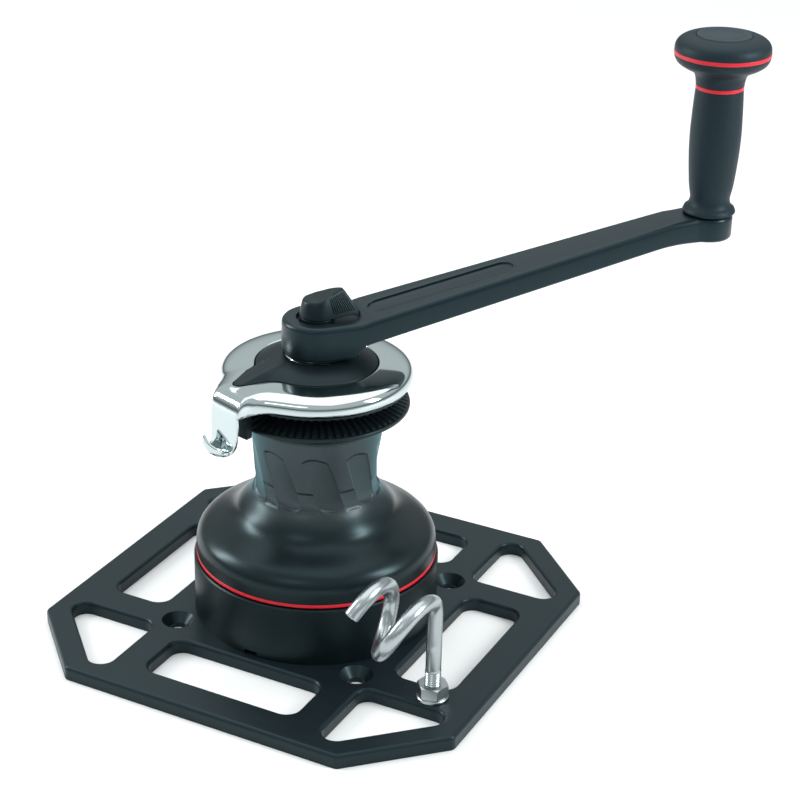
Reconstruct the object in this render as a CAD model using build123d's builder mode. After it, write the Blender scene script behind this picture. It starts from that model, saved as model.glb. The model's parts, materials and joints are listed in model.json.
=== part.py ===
from build123d import *
import os
from math import acos, atan2, cos, degrees, hypot, pi, radians, sin, tan

# Two-speed self-tailing winch on a bolted plate, with a lock-in handle. Millimetres.
# Frame: origin on the winch axis at the underside of the plate, +Z up, X and Y along the plate's sides.

os.makedirs("parts", exist_ok=True)

# ---------------------------------------------------------------- driving dimensions

# Mounting plate
PLATE_HALF = 146.5
PLATE_CHAMFER = 51.0
PLATE_T = 9.0
PLATE_EDGE_R = 2.5
SLOT_INNER, SLOT_OUTER, SLOT_HALF_LENGTH, SLOT_CORNER_R = 84.0, 123.5, 53.0, 9.0
TRIANGLE_LEG = 75.0
TRIANGLE_DIAGONAL = 219.5
TRIANGLE_R = 8.5
PLATE_HOLE_XY = 65.0
PLATE_HOLE_R, PLATE_SINK_R = 5.5, 10.5
BASE_SCREW_PITCH_R, BASE_SCREW_R, BASE_SCREW_COUNT = 66.0, 3.0, 6
FIT_GAP = 0.05

# Pigtail rope guide: a bent rod that stands on one corner of the plate
GUIDE_X, GUIDE_Y = 116.5, -64.0
ROD_R = 4.75
LEG_TOP = 60.0
LOOP_RISE, LOOP_SIDE = 18.3, 20.2
LOOP_PITCH, LOOP_CLIMB, LOOP_SKEW = 27.7, 5.9, -6.0
LOOP_HEIGHT = 63.8
LOOP_HEADING = 187.1
NUT_FLATS, NUT_H = 17.0, 8.0
WASHER_R, WASHER_H = 9.8, 2.0

# Base and stem
BASE_R, BASE_WALL, BASE_TOP = 78.5, 4.2, 47.8
FLOOR_TOP = PLATE_T + 5.0
STEM_R, STEM_BORE = 21.0, 17.0
STEM_TOP = 176.0
FLANGE_R, FLANGE_BOTTOM, FLANGE_TOP = 53.0, 67.0, 71.0
PILLAR_R, PILLAR_PITCH_R = 7.0, 42.0

# Drum
DRUM_R, DRUM_BOTTOM, DRUM_SKIRT_TOP = 76.8, 48.6, 57.4
TRIM_H = 2.4
NECK_R = 39.0
BORE_R = 27.0
HUB_R, HUB_TOP = 35.0, 162.5
SHOULDER_Z = 147.4

# Gears
MODULE_ = 1.75
PRESSURE = radians(25)
ADDENDUM, DEDENDUM = 0.8 * MODULE_, 1.0 * MODULE_
HALF_BACKLASH = 0.075
UPPER_GEAR_Z = (51.5, 65.5)
LOWER_GEAR_Z = (30.0, 42.0)
SHAFT_TEETH_1, IDLER_TEETH, PINION_TEETH, RING_TEETH = 31, 15, 15, 66
SHAFT_TEETH_2, SECOND_TEETH = 21, 30
PINION_ANGLE = 200.0

# Jaws
JAW_R = 58.2
SPRING_PITCH_R, SPRING_R, SPRING_WIRE_R, SPRING_COUNT = 38.6, 1.7, 0.35, 6

# Stripper arm and cover
ARM_R = 60.0
ARM_LIP_Z, ARM_TOP_Z = 169.6, 180.3
ARM_SCREW_PITCH_R = 35.6
COVER_R, COVER_BOTTOM = 37.8, 178.2
FEEDER_ANGLE = -110.0
TAB_LEFT, TAB_REACH, TAB_T = -11.5, 72.0, 2.6
LIP_R, LIP_RISE, GUTTER_Z = 4.6, 6.5, 142.6
LOBE_CORNERS = ((-31, 48), (-22, 63), (-11.5, 67), (-11.5, 74.6), (14.2, 74.6), (15, 65), (26, 53), (0, 45))

# Main shaft and handle
SHAFT_R, SHAFT_TOP = 15.0, 187.0
SOCKET_SQUARE, STUD_SQUARE = 17.46, 17.3
SOCKET_FLOOR, UNDERCUT_TOP = 135.0, 140.5
HANDLE_ANGLE = 43.6
HANDLE_LENGTH = 254.0
HANDLE_BOTTOM, HUB_TOP_Z, BOSS_TOP = 187.6, 210.0, 255.8
STUD_BOTTOM, STUD_TOP = 140.8, 199.5

PITCH_R = {n: n * MODULE_ / 2 for n in (SHAFT_TEETH_1, IDLER_TEETH, PINION_TEETH, RING_TEETH,
                                        SHAFT_TEETH_2, SECOND_TEETH)}


# ---------------------------------------------------------------- helpers

def write(builder, label):
    """Label a finished sub-part and write it as one STEP file."""
    builder.part.label = label
    export_step(builder.part, f"parts/{label}.step")


def polar(radius, angle):
    """Point in the XY plane at an angle in degrees."""
    return (radius * cos(radians(angle)), radius * sin(radians(angle)))


def annulus(outer, inner, bottom, centre=(0, 0)):
    """Flat ring at a height; a disc where inner is 0."""
    with BuildSketch(Plane.XY.offset(bottom)) as face:
        with Locations(centre):
            Circle(outer)
            if inner > 0:
                Circle(inner, mode=Mode.SUBTRACT)
    return face.sketch


def section(*points):
    """Closed polygon of (radius, height) points, to be turned about a vertical axis."""
    with BuildSketch(Plane.XZ) as face:
        with BuildLine():
            Polyline(*points, close=True)
        make_face()
    return face.sketch


def gear_face(teeth, inner_r, outer_r, half_arc, phase, centre, bottom):
    """Involute tooth outline. half_arc is half the tooth's thickness at the pitch circle."""
    pitch_r = teeth * MODULE_ / 2
    base_r = pitch_r * cos(PRESSURE)
    start_r = max(base_r, inner_r)

    def half_angle(radius):
        alpha = acos(min(1.0, base_r / radius))
        return half_arc / pitch_r + (tan(PRESSURE) - PRESSURE) - (tan(alpha) - alpha)

    def at(radius, angle):
        return (radius * cos(angle), radius * sin(angle))

    mid_r = (start_r + outer_r) / 2
    step = 2 * pi / teeth
    with BuildSketch(Plane.XY.offset(bottom)) as face:
        with Locations(centre):
            with BuildSketch(mode=Mode.PRIVATE) as outline:
                with BuildLine():
                    for k in range(teeth):
                        mid = radians(phase) + k * step
                        low, high, top = (half_angle(r) for r in (start_r, mid_r, outer_r))
                        if start_r > inner_r:
                            Line(at(inner_r, mid - low), at(start_r, mid - low))
                        ThreePointArc(at(start_r, mid - low), at(mid_r, mid - high), at(outer_r, mid - top))
                        Line(at(outer_r, mid - top), at(outer_r, mid + top))
                        ThreePointArc(at(outer_r, mid + top), at(mid_r, mid + high), at(start_r, mid + low))
                        if start_r > inner_r:
                            Line(at(start_r, mid + low), at(inner_r, mid + low))
                        Line(at(inner_r, mid + low), at(inner_r, mid + step - low))
                make_face()
            add(outline.sketch)
    return face.sketch


def external_gear(teeth, phase, centre, bottom):
    """Face of a spur gear with outside teeth."""
    pitch_r = teeth * MODULE_ / 2
    thickness = pi * MODULE_ / 2 - HALF_BACKLASH
    return gear_face(teeth, pitch_r - DEDENDUM, pitch_r + ADDENDUM, thickness / 2, phase, centre, bottom)


def mesh_phase(direction, phase, teeth, mate_teeth):
    """Phase of an outside gear that meshes with a mate of the given phase, seen along direction."""
    turns = (direction - phase) / (360 / teeth)
    return direction + 180 - (0.5 - turns) * 360 / mate_teeth


def ratchet_face(inner_r, outer_r, teeth, phase, bottom, centre=(0, 0)):
    """Saw-toothed hole outline."""
    points = []
    for k in range(teeth):
        start = phase + k * 360 / teeth
        points += [polar(inner_r, start), polar(outer_r, start + 2)]
    with BuildSketch(Plane.XY.offset(bottom)) as face:
        with Locations(centre):
            Polygon(*points, align=None)
    return face.sketch


def pawl_face(heel, tips, heel_r, tip_r, bottom):
    """Pawl outline: a round heel and a narrow tip joined by straight flanks. With two tips, its pocket."""
    with BuildSketch(Plane.XY.offset(bottom)) as face:
        with Locations(heel):
            Circle(heel_r)
        with Locations(*tips):
            Circle(tip_r)
        make_hull()
    return face.sketch


def swung(point, about, angle):
    """Point turned about another point in the XY plane."""
    dx, dy = point[0] - about[0], point[1] - about[1]
    c, s = cos(radians(angle)), sin(radians(angle))
    return (about[0] + c * dx - s * dy, about[1] + s * dx + c * dy)


def coil(centre, bottom, height, turns, radius, wire_r):
    """Round-wire compression spring."""
    x, y = centre
    path = Helix(pitch=height / turns, height=height, radius=radius, center=(x, y, bottom))
    start = Plane(origin=path @ 0, z_dir=path % 0)
    with BuildPart() as spring:
        with BuildSketch(start):
            Circle(wire_r)
        sweep(path=path, is_frenet=True)
    return spring.part


# ---------------------------------------------------------------- mounting plate

with BuildPart() as mounting_plate:
    with BuildSketch():
        Rectangle(2 * PLATE_HALF, 2 * PLATE_HALF)
        chamfer(vertices(), PLATE_CHAMFER)
        fillet(vertices(), 5)
    extrude(amount=PLATE_T)
    with BuildSketch(Plane.XY) as windows:
        with PolarLocations((SLOT_INNER + SLOT_OUTER) / 2, 4):
            RectangleRounded(SLOT_OUTER - SLOT_INNER, 2 * SLOT_HALF_LENGTH, SLOT_CORNER_R)
        far = TRIANGLE_DIAGONAL - TRIANGLE_LEG
        for turn in range(4):
            with BuildSketch(mode=Mode.PRIVATE) as triangle:
                Polygon((TRIANGLE_LEG, TRIANGLE_LEG), (far, TRIANGLE_LEG), (TRIANGLE_LEG, far), align=None)
                fillet(triangle.vertices(), TRIANGLE_R)
            add(triangle.sketch, rotation=90 * turn)
    extrude(amount=PLATE_T, mode=Mode.SUBTRACT)
    top_edges = mounting_plate.edges().filter_by(Plane.XY).group_by(Axis.Z)[-1]
    fillet(top_edges, PLATE_EDGE_R)
    with Locations(Plane.XY.offset(PLATE_T)):
        with GridLocations(2 * PLATE_HOLE_XY, 2 * PLATE_HOLE_XY, 2, 2):
            CounterSinkHole(PLATE_HOLE_R, PLATE_SINK_R)
        with PolarLocations(BASE_SCREW_PITCH_R, BASE_SCREW_COUNT):
            Hole(BASE_SCREW_R + FIT_GAP)
        with Locations((GUIDE_X, GUIDE_Y)):
            Hole(ROD_R + FIT_GAP)
write(mounting_plate, "mounting_plate")

# ---------------------------------------------------------------- pigtail rope guide


def guide_point(angle):
    """Centre of the bent rod at a turn angle: 180 degrees is where the leg meets the loop."""
    turn = radians(angle)
    done = (pi - turn) / (2 * pi)
    along = LOOP_PITCH * done + LOOP_SKEW * sin(turn)
    side = LOOP_SIDE * (cos(turn) + 1)
    ax, ay = polar(1, LOOP_HEADING)
    return (GUIDE_X + ax * along - ay * side, GUIDE_Y + ay * along + ax * side,
            LOOP_HEIGHT + LOOP_RISE * sin(turn) + LOOP_CLIMB * done)


def bent_bar(points):
    """Straight runs joined by tangent arcs, each arc as large as its two runs allow."""
    start = points[0]
    for before, corner, after in zip(points, points[1:], points[2:]):
        arriving, leaving = (corner - before), (after - corner)
        cut = 0.45 * min(arriving.length, leaving.length)
        u, v = arriving.normalized(), leaving.normalized()
        half_turn = radians(u.get_angle(v)) / 2
        rise = cut / tan(half_turn) * (1 / cos(half_turn) - 1)
        Line(start, corner - u * cut)
        ThreePointArc(corner - u * cut, corner + (v - u).normalized() * rise, corner + v * cut)
        start = corner + v * cut
    Line(start, points[-1])


leg_points = [Vector(GUIDE_X, GUIDE_Y, 1.0), Vector(GUIDE_X, GUIDE_Y, LEG_TOP)]
loop_points = [Vector(*guide_point(150 - 30.75 * k)) for k in range(17)]
with BuildPart() as pigtail_guide:
    with BuildLine() as guide_path:
        bent_bar(leg_points + loop_points)
    with BuildSketch(Plane.XY.offset(1.0)):
        with Locations((GUIDE_X, GUIDE_Y)):
            Circle(ROD_R)
    sweep(path=guide_path.line)
write(pigtail_guide, "pigtail_guide")

with BuildPart() as pigtail_washer:
    extrude(annulus(WASHER_R, ROD_R + 0.3, PLATE_T, (GUIDE_X, GUIDE_Y)), amount=WASHER_H)
    chamfer(pigtail_washer.edges().sort_by(SortBy.LENGTH)[-2:], 0.4)
write(pigtail_washer, "pigtail_washer")

with BuildPart() as pigtail_nut:
    with BuildSketch(Plane.XY.offset(PLATE_T + WASHER_H)):
        with Locations((GUIDE_X, GUIDE_Y)):
            RegularPolygon(NUT_FLATS / 2, 6, major_radius=False, rotation=12)
    extrude(amount=NUT_H)
    nut_bottom, nut_top = PLATE_T + WASHER_H, PLATE_T + WASHER_H + NUT_H
    with BuildSketch(Plane.XZ.offset(-GUIDE_Y)):
        with BuildLine():
            Polyline((GUIDE_X, nut_bottom), (GUIDE_X + 8.6, nut_bottom), (GUIDE_X + 9.9, nut_bottom + 0.9),
                     (GUIDE_X + 9.9, nut_top - 0.9), (GUIDE_X + 8.6, nut_top), (GUIDE_X, nut_top), close=True)
        make_face()
    revolve(axis=Axis((GUIDE_X, GUIDE_Y, 0), (0, 0, 1)), mode=Mode.INTERSECT)
    with Locations((GUIDE_X, GUIDE_Y, nut_top)):
        Hole(ROD_R + FIT_GAP)
write(pigtail_nut, "pigtail_nut")

# ---------------------------------------------------------------- base housing

pinion_at = polar(PITCH_R[SHAFT_TEETH_2] + PITCH_R[SECOND_TEETH], PINION_ANGLE)
pinion_reach = hypot(*pinion_at)
idler_reach = PITCH_R[SHAFT_TEETH_1] + PITCH_R[IDLER_TEETH]
idler_to_pinion = PITCH_R[IDLER_TEETH] + PITCH_R[PINION_TEETH]
idler_offset = degrees(acos((pinion_reach**2 + idler_reach**2 - idler_to_pinion**2)
                            / (2 * pinion_reach * idler_reach)))
IDLER_ANGLE = PINION_ANGLE + idler_offset
idler_at = polar(idler_reach, IDLER_ANGLE)
pillar_angles = [PINION_ANGLE + a for a in (-60, 80, 150, 220)]
pillar_points = [polar(PILLAR_PITCH_R, a) for a in pillar_angles]

with BuildPart() as base_housing:
    extrude(annulus(BASE_R, 0, PLATE_T), amount=BASE_TOP - PLATE_T)
    extrude(annulus(BASE_R - BASE_WALL, 0, FLOOR_TOP), amount=BASE_TOP - FLOOR_TOP, mode=Mode.SUBTRACT)
    rim = base_housing.edges().filter_by(GeomType.CIRCLE).group_by(Axis.Z)[-1]
    chamfer(rim.sort_by(SortBy.LENGTH)[-1], 0.8)
    extrude(annulus(17.0, 0, FLOOR_TOP), amount=6)
    extrude(annulus(9.0, 0, FLOOR_TOP, pinion_at), amount=28.5 - FLOOR_TOP)
    for point in pillar_points:
        extrude(annulus(PILLAR_R, 0, FLOOR_TOP, point), amount=FLANGE_BOTTOM - FLOOR_TOP)
    with BuildSketch(Plane.XY.offset(FLOOR_TOP)):
        with Locations(*pillar_points):
            Circle(3.0)
    extrude(amount=FLANGE_BOTTOM - FLOOR_TOP, mode=Mode.SUBTRACT)
    with Locations(Plane.XY.offset(FLOOR_TOP + 6)):
        Hole(13.0)
        with Locations(pinion_at):
            Hole(5.0)
    with Locations(Plane.XY.offset(FLOOR_TOP)):
        with PolarLocations(BASE_SCREW_PITCH_R, BASE_SCREW_COUNT):
            Hole(BASE_SCREW_R + 0.3)
    with Locations(Location((*polar(BASE_R, -92), PLATE_T + 1.6), (0, 0, -92))):
        Box(12, 9, 3.2, mode=Mode.SUBTRACT)
write(base_housing, "base_housing")

with BuildPart() as base_screws:
    with BuildSketch(Plane.XY.offset(1.0)):
        with PolarLocations(BASE_SCREW_PITCH_R, BASE_SCREW_COUNT):
            Circle(BASE_SCREW_R)
    extrude(amount=FLOOR_TOP - 1.0)
    with BuildSketch(Plane.XY.offset(FLOOR_TOP)):
        with PolarLocations(BASE_SCREW_PITCH_R, BASE_SCREW_COUNT):
            Circle(5.0)
    extrude(amount=6.0)
    with BuildSketch(Plane.XY.offset(FLOOR_TOP + 3)):
        with PolarLocations(BASE_SCREW_PITCH_R, BASE_SCREW_COUNT):
            RegularPolygon(2.5, 6, major_radius=False)
    extrude(amount=3, mode=Mode.SUBTRACT)
write(base_screws, "base_screws")

with BuildPart() as center_stem:
    extrude(annulus(FLANGE_R, STEM_BORE, FLANGE_BOTTOM), amount=FLANGE_TOP - FLANGE_BOTTOM)
    extrude(annulus(STEM_R, STEM_BORE, FLANGE_TOP), amount=STEM_TOP - FLANGE_TOP)
    fillet(center_stem.edges().filter_by(GeomType.CIRCLE).filter_by(
        lambda e: abs(e.radius - STEM_R) < 0.01 and abs(e.center().Z - FLANGE_TOP) < 0.01), 2)
    for groove in (149.4, 174.0):
        extrude(annulus(STEM_R, STEM_R - 1.2, groove), amount=1.4, mode=Mode.SUBTRACT)
    with Locations(Plane.XY.offset(FLANGE_TOP)):
        with Locations(*pillar_points):
            Hole(3.2)
        with Locations(pinion_at, idler_at):
            Hole(5.0)
write(center_stem, "center_stem")

with BuildPart() as stem_screws:
    for point in pillar_points:
        extrude(annulus(3.0, 0, FLANGE_BOTTOM - 14, point), amount=FLANGE_TOP - FLANGE_BOTTOM + 14)
        extrude(annulus(4.8, 0, FLANGE_TOP, point), amount=4.5)
    with BuildSketch(Plane.XY.offset(FLANGE_TOP + 2)):
        with Locations(*pillar_points):
            RegularPolygon(2.5, 6, major_radius=False)
    extrude(amount=2.5, mode=Mode.SUBTRACT)
write(stem_screws, "stem_screws")

with BuildPart() as pinion_spindle:
    extrude(annulus(4.98, 0, PLATE_T + 0.5, pinion_at), amount=FLANGE_TOP - PLATE_T - 0.5)
    extrude(annulus(6.5, 0, FLANGE_TOP, pinion_at), amount=2.2)
write(pinion_spindle, "pinion_spindle")

with BuildPart() as idler_spindle:
    extrude(annulus(8.0, 0, 48.6, idler_at), amount=2.5)
    extrude(annulus(4.98, 0, 48.6, idler_at), amount=FLANGE_TOP - 48.6)
    extrude(annulus(6.5, 0, FLANGE_TOP, idler_at), amount=2.2)
write(idler_spindle, "idler_spindle")

# ---------------------------------------------------------------- bearings on the stem


def roller_bearing(bottom, height, rollers):
    """Caged roller bearing between the stem and the drum's bore."""
    middle = (STEM_R + BORE_R) / 2
    roller_r = (BORE_R - STEM_R) / 2 - FIT_GAP
    with BuildPart() as bearing:
        extrude(annulus(BORE_R - 1.4, STEM_R + 1.4, bottom), amount=height)
        with BuildSketch(Plane.XY.offset(bottom + 1.4)):
            with PolarLocations(middle, rollers):
                Circle(roller_r + 0.12)
        extrude(amount=height - 2.8, mode=Mode.SUBTRACT)
        with BuildSketch(Plane.XY.offset(bottom + 1.6)):
            with PolarLocations(middle, rollers):
                Circle(roller_r)
        extrude(amount=height - 3.2)
    return bearing


write(roller_bearing(75.0, 14.0, 18), "lower_drum_bearing")
write(roller_bearing(134.0, 14.0, 18), "upper_drum_bearing")

with BuildPart() as bearing_spacer:
    extrude(annulus(24.0, STEM_R + 0.1, 89.3), amount=44.4)
write(bearing_spacer, "bearing_spacer")

with BuildPart() as drum_thrust_washer:
    extrude(annulus(33.0, STEM_R + 2.6, FLANGE_TOP), amount=2.6)
write(drum_thrust_washer, "drum_thrust_washer")

with BuildPart() as drum_retaining_ring:
    extrude(annulus(26.2, STEM_R - 1.1, 149.5), amount=1.2)
    with Locations((22, 0, 150)):
        Box(12, 7, 4, mode=Mode.SUBTRACT)
write(drum_retaining_ring, "drum_retaining_ring")

with BuildPart() as lower_shaft_bush:
    extrude(annulus(12.98, 10.05, PLATE_T + 0.6), amount=FLOOR_TOP + 6 - PLATE_T - 0.6)
write(lower_shaft_bush, "lower_shaft_bush")

with BuildPart() as upper_shaft_bush:
    extrude(annulus(STEM_BORE - 0.02, SHAFT_R + FIT_GAP, 155.0), amount=18)
write(upper_shaft_bush, "upper_shaft_bush")

# ---------------------------------------------------------------- gear train

FIRST_PHASE = 0.0
SHAFT2_PHASE = 4.0
idler_phase = mesh_phase(IDLER_ANGLE, FIRST_PHASE, SHAFT_TEETH_1, IDLER_TEETH)
idler_pinion_dir = degrees(atan2(pinion_at[1] - idler_at[1], pinion_at[0] - idler_at[0]))
pinion_phase = mesh_phase(idler_pinion_dir, idler_phase, IDLER_TEETH, PINION_TEETH)
second_phase = mesh_phase(PINION_ANGLE, SHAFT2_PHASE, SHAFT_TEETH_2, SECOND_TEETH)
pinion_turns = (PINION_ANGLE - pinion_phase) / (360 / PINION_TEETH)
ring_phase = PINION_ANGLE - pinion_turns * 360 / RING_TEETH
upper_z, upper_top = UPPER_GEAR_Z
upper_h = upper_top - upper_z
lower_z, lower_top = LOWER_GEAR_Z
lower_h = lower_top - lower_z

# Pawls: heel and tip places, measured from the tooth that they bear on.
CARRIER_R, RATCHET_IN, RATCHET_OUT, RATCHET_TEETH = 18.0, 19.0, 21.3, 12
PAWL_HEEL_R, PAWL_TIP_R = 2.5, 0.9
HUB2_R, RATCHET2_IN, RATCHET2_OUT, RATCHET2_TEETH = 13.0, 13.6, 15.8, 10
PAWL2_HEEL_R, PAWL2_TIP_R = 2.0, 0.8
PAWL_Z, PAWL_H = upper_z + 3.9, 9.6
PAWL2_Z, PAWL2_H = lower_z + 3.9, 7.6
PAWL_SWING, PAWL2_SWING = -12.0, -8.0


def first_pawl_points(side):
    """Heel and tip of a first-speed pawl on the main shaft."""
    return polar(15.0, side + 42), polar(19.3, side + 5.6)


def second_pawl_points(side):
    """Heel and tip of a second-speed pawl on the pinion's hub."""
    heel, tip = polar(10.4, side + 44), polar(12.5, side + 3)
    x, y = pinion_at
    return (x + heel[0], y + heel[1]), (x + tip[0], y + tip[1])


with BuildPart() as first_speed_gear:
    extrude(external_gear(SHAFT_TEETH_1, FIRST_PHASE, (0, 0), upper_z), amount=upper_h)
    extrude(annulus(CARRIER_R + FIT_GAP, 0, upper_z), amount=upper_h, mode=Mode.SUBTRACT)
    extrude(ratchet_face(RATCHET_IN, RATCHET_OUT, RATCHET_TEETH, 0, upper_z + 3.4), amount=upper_h,
            mode=Mode.SUBTRACT)
write(first_speed_gear, "first_speed_gear")

with BuildPart() as idler_gear:
    extrude(external_gear(IDLER_TEETH, idler_phase, idler_at, upper_z), amount=upper_h)
    extrude(annulus(7.0, 0, upper_z, idler_at), amount=upper_h, mode=Mode.SUBTRACT)
write(idler_gear, "idler_gear")

with BuildPart() as idler_bush:
    extrude(annulus(6.98, 5.03, upper_z, idler_at), amount=upper_h)
write(idler_bush, "idler_bush")

with BuildPart() as pinion:
    extrude(external_gear(PINION_TEETH, pinion_phase, pinion_at, upper_z), amount=upper_h)
    extrude(annulus(11.0, 0, 43.0, pinion_at), amount=upper_z - 43.0)
    extrude(annulus(HUB2_R, 0, 29.2, pinion_at), amount=14.0)
    extrude(annulus(16.0, 0, 28.9, pinion_at), amount=0.8)
    for side in (0, 180):
        heel, tip = second_pawl_points(side)
        extrude(pawl_face(heel, (tip, swung(tip, heel, PAWL2_SWING)), PAWL2_HEEL_R + 0.06, PAWL2_TIP_R + 0.3,
                          PAWL2_Z - 0.2), amount=PAWL2_H + 0.4, mode=Mode.SUBTRACT)
    extrude(annulus(7.0, 0, 28.9, pinion_at), amount=40, mode=Mode.SUBTRACT)
write(pinion, "pinion")

with BuildPart() as pinion_bush:
    extrude(annulus(6.98, 5.03, 29.2, pinion_at), amount=upper_top - 29.2)
write(pinion_bush, "pinion_bush")

with BuildPart() as second_speed_gear:
    extrude(external_gear(SECOND_TEETH, second_phase, pinion_at, lower_z), amount=lower_h)
    extrude(annulus(HUB2_R + FIT_GAP, 0, lower_z, pinion_at), amount=lower_h, mode=Mode.SUBTRACT)
    extrude(ratchet_face(RATCHET2_IN, RATCHET2_OUT, RATCHET2_TEETH, 0, lower_z + 3.4, pinion_at),
            amount=lower_h, mode=Mode.SUBTRACT)
write(second_speed_gear, "second_speed_gear")

for number, side in enumerate((0, 180), start=1):
    heel, tip = first_pawl_points(side)
    with BuildPart() as first_pawl:
        extrude(pawl_face(heel, (tip,), PAWL_HEEL_R, PAWL_TIP_R, PAWL_Z), amount=PAWL_H)
    write(first_pawl, f"first_speed_pawl_{number}")
    heel, tip = second_pawl_points(side)
    with BuildPart() as second_pawl:
        extrude(pawl_face(heel, (tip,), PAWL2_HEEL_R, PAWL2_TIP_R, PAWL2_Z), amount=PAWL2_H)
    write(second_pawl, f"second_speed_pawl_{number}")

with BuildPart() as shaft_gear:
    extrude(external_gear(SHAFT_TEETH_2, SHAFT2_PHASE, (0, 0), lower_z), amount=lower_h)
    extrude(annulus(14.0, 0, lower_z), amount=lower_h, mode=Mode.SUBTRACT)
write(shaft_gear, "shaft_gear")

with BuildPart() as drum_ring_gear:
    extrude(annulus(64.0, 0, 51.0), amount=15.0)
    pitch = PITCH_R[RING_TEETH]
    space = (pi * MODULE_ / 2 + HALF_BACKLASH) / 2
    extrude(gear_face(RING_TEETH, pitch - ADDENDUM, pitch + DEDENDUM, space, ring_phase, (0, 0), 51.0),
            amount=15.0, mode=Mode.SUBTRACT)
write(drum_ring_gear, "drum_ring_gear")

# ---------------------------------------------------------------- main shaft

with BuildPart() as main_shaft:
    revolve(section((0, 10), (10, 10), (10, 20.6), (14, 20.6), (14, 42), (17, 42),
                    (21, 47), (21, upper_z - 0.4), (CARRIER_R, upper_z - 0.4),
                    (CARRIER_R, upper_top + 0.4), (SHAFT_R, upper_top + 0.4),
                    (SHAFT_R, SHAFT_TOP), (0, SHAFT_TOP)), axis=Axis.Z)
    with BuildSketch(Plane.XY.offset(UNDERCUT_TOP)):
        Rectangle(SOCKET_SQUARE, SOCKET_SQUARE)
        Rectangle(SOCKET_SQUARE, SOCKET_SQUARE, rotation=45)
    extrude(amount=SHAFT_TOP - UNDERCUT_TOP, mode=Mode.SUBTRACT)
    extrude(annulus(12.6, 0, SOCKET_FLOOR), amount=UNDERCUT_TOP - SOCKET_FLOOR, mode=Mode.SUBTRACT)
    for side in (0, 180):
        heel, tip = first_pawl_points(side)
        extrude(pawl_face(heel, (tip, swung(tip, heel, PAWL_SWING)), PAWL_HEEL_R + 0.06, PAWL_TIP_R + 0.3,
                          PAWL_Z - 0.2), amount=PAWL_H + 0.4, mode=Mode.SUBTRACT)
write(main_shaft, "main_shaft")

with BuildPart() as socket_collar:
    revolve(section((SHAFT_R, 182.6), (20.0, 182.6), (20.0, 186.2), (19.2, 187.0), (SHAFT_R, 187.0)),
            axis=Axis.Z)
write(socket_collar, "socket_collar")

with BuildPart() as first_gear_washer:
    extrude(annulus(23.0, SHAFT_R + 0.1, upper_top + 0.5), amount=0.8)
write(first_gear_washer, "first_gear_washer")

# ---------------------------------------------------------------- drum

with BuildPart() as drum:
    with BuildSketch(Plane.XZ):
        with BuildLine():
            Polyline((72.0, DRUM_BOTTOM), (72.0, DRUM_BOTTOM + TRIM_H), (DRUM_R, DRUM_BOTTOM + TRIM_H),
                     (DRUM_R, DRUM_SKIRT_TOP))
            Bezier((DRUM_R, DRUM_SKIRT_TOP), (DRUM_R, 72.5), (58.0, 71.5), (50.5, 82.2))
            Bezier((50.5, 82.2), (45.5, 89.3), (NECK_R, 91.5), (NECK_R, 101.0))
            Bezier((NECK_R, 101.0), (NECK_R, 117.0), (41.0, 126.0), (41.6, 141.0))
            ThreePointArc((41.6, 141.0), (43.0, 145.4), (46.5, SHOULDER_Z))
            Polyline((46.5, SHOULDER_Z), (HUB_R, SHOULDER_Z), (HUB_R, HUB_TOP),
                     (BORE_R, HUB_TOP), (BORE_R, 130), (33, 128), (33, 92), (BORE_R, 90),
                     (BORE_R, 74.2), (35, 74.2), (35, 79), (43, 79.5),
                     (50, 75.6), (60, 69.2), (64, 66.0), (64, 51.0), (64, DRUM_BOTTOM + 0.4),
                     (67, DRUM_BOTTOM + 0.4), (67, 58), (70, 58), (70, DRUM_BOTTOM), (72, DRUM_BOTTOM))
        make_face()
    revolve(axis=Axis.Z)
    with BuildSketch(Plane.XY.offset(139.0)):
        with PolarLocations(SPRING_PITCH_R, SPRING_COUNT):
            Circle(SPRING_R + SPRING_WIRE_R + 0.2)
    extrude(amount=SHOULDER_Z - 139.0, mode=Mode.SUBTRACT)
    with BuildSketch(Plane.XY.offset(150.0)):
        with PolarLocations(31.0, 6, start_angle=30):
            Circle(2.0)
    extrude(amount=HUB_TOP - 150.0, mode=Mode.SUBTRACT)
    extrude(annulus(HUB_R, HUB_R - 1.0, 159.2), amount=1.2, mode=Mode.SUBTRACT)
write(drum, "drum")

with BuildPart() as drum_trim_ring:
    extrude(annulus(DRUM_R + 0.2, 72.0, DRUM_BOTTOM), amount=TRIM_H)
    fillet(drum_trim_ring.edges().sort_by(SortBy.LENGTH)[-2:], 0.5)
write(drum_trim_ring, "drum_trim_ring")

# ---------------------------------------------------------------- self-tailing jaws

with BuildPart() as lower_jaw:
    revolve(section((HUB_R + 0.06, 149.2), (47.0, 149.2), (57.0, 151.4), (JAW_R, 152.2), (JAW_R, 153.6),
                    (57.4, 154.4), (56.0, 154.6), (42.0, 158.8), (HUB_R + 0.06, 158.8)), axis=Axis.Z)
write(lower_jaw, "lower_jaw")

with BuildPart() as jaw_stop_ring:
    extrude(annulus(36.6, HUB_R - 0.9, 159.3), amount=1.0)
    with Locations((35.5, 0, 160)):
        Box(5, 5, 3, mode=Mode.SUBTRACT)
write(jaw_stop_ring, "jaw_stop_ring")

with BuildPart() as upper_jaw:
    revolve(section((27.6, HUB_TOP), (42.0, HUB_TOP), (55.6, 166.4), (57.2, 166.6), (57.8, 167.2),
                    (57.2, 168.4), (27.6, 168.4)), axis=Axis.Z)
    with Locations(Plane.XY.offset(168.4)):
        with PolarLocations(31.0, 6, start_angle=30):
            CounterSinkHole(2.1, 3.9)
write(upper_jaw, "upper_jaw")

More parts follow.
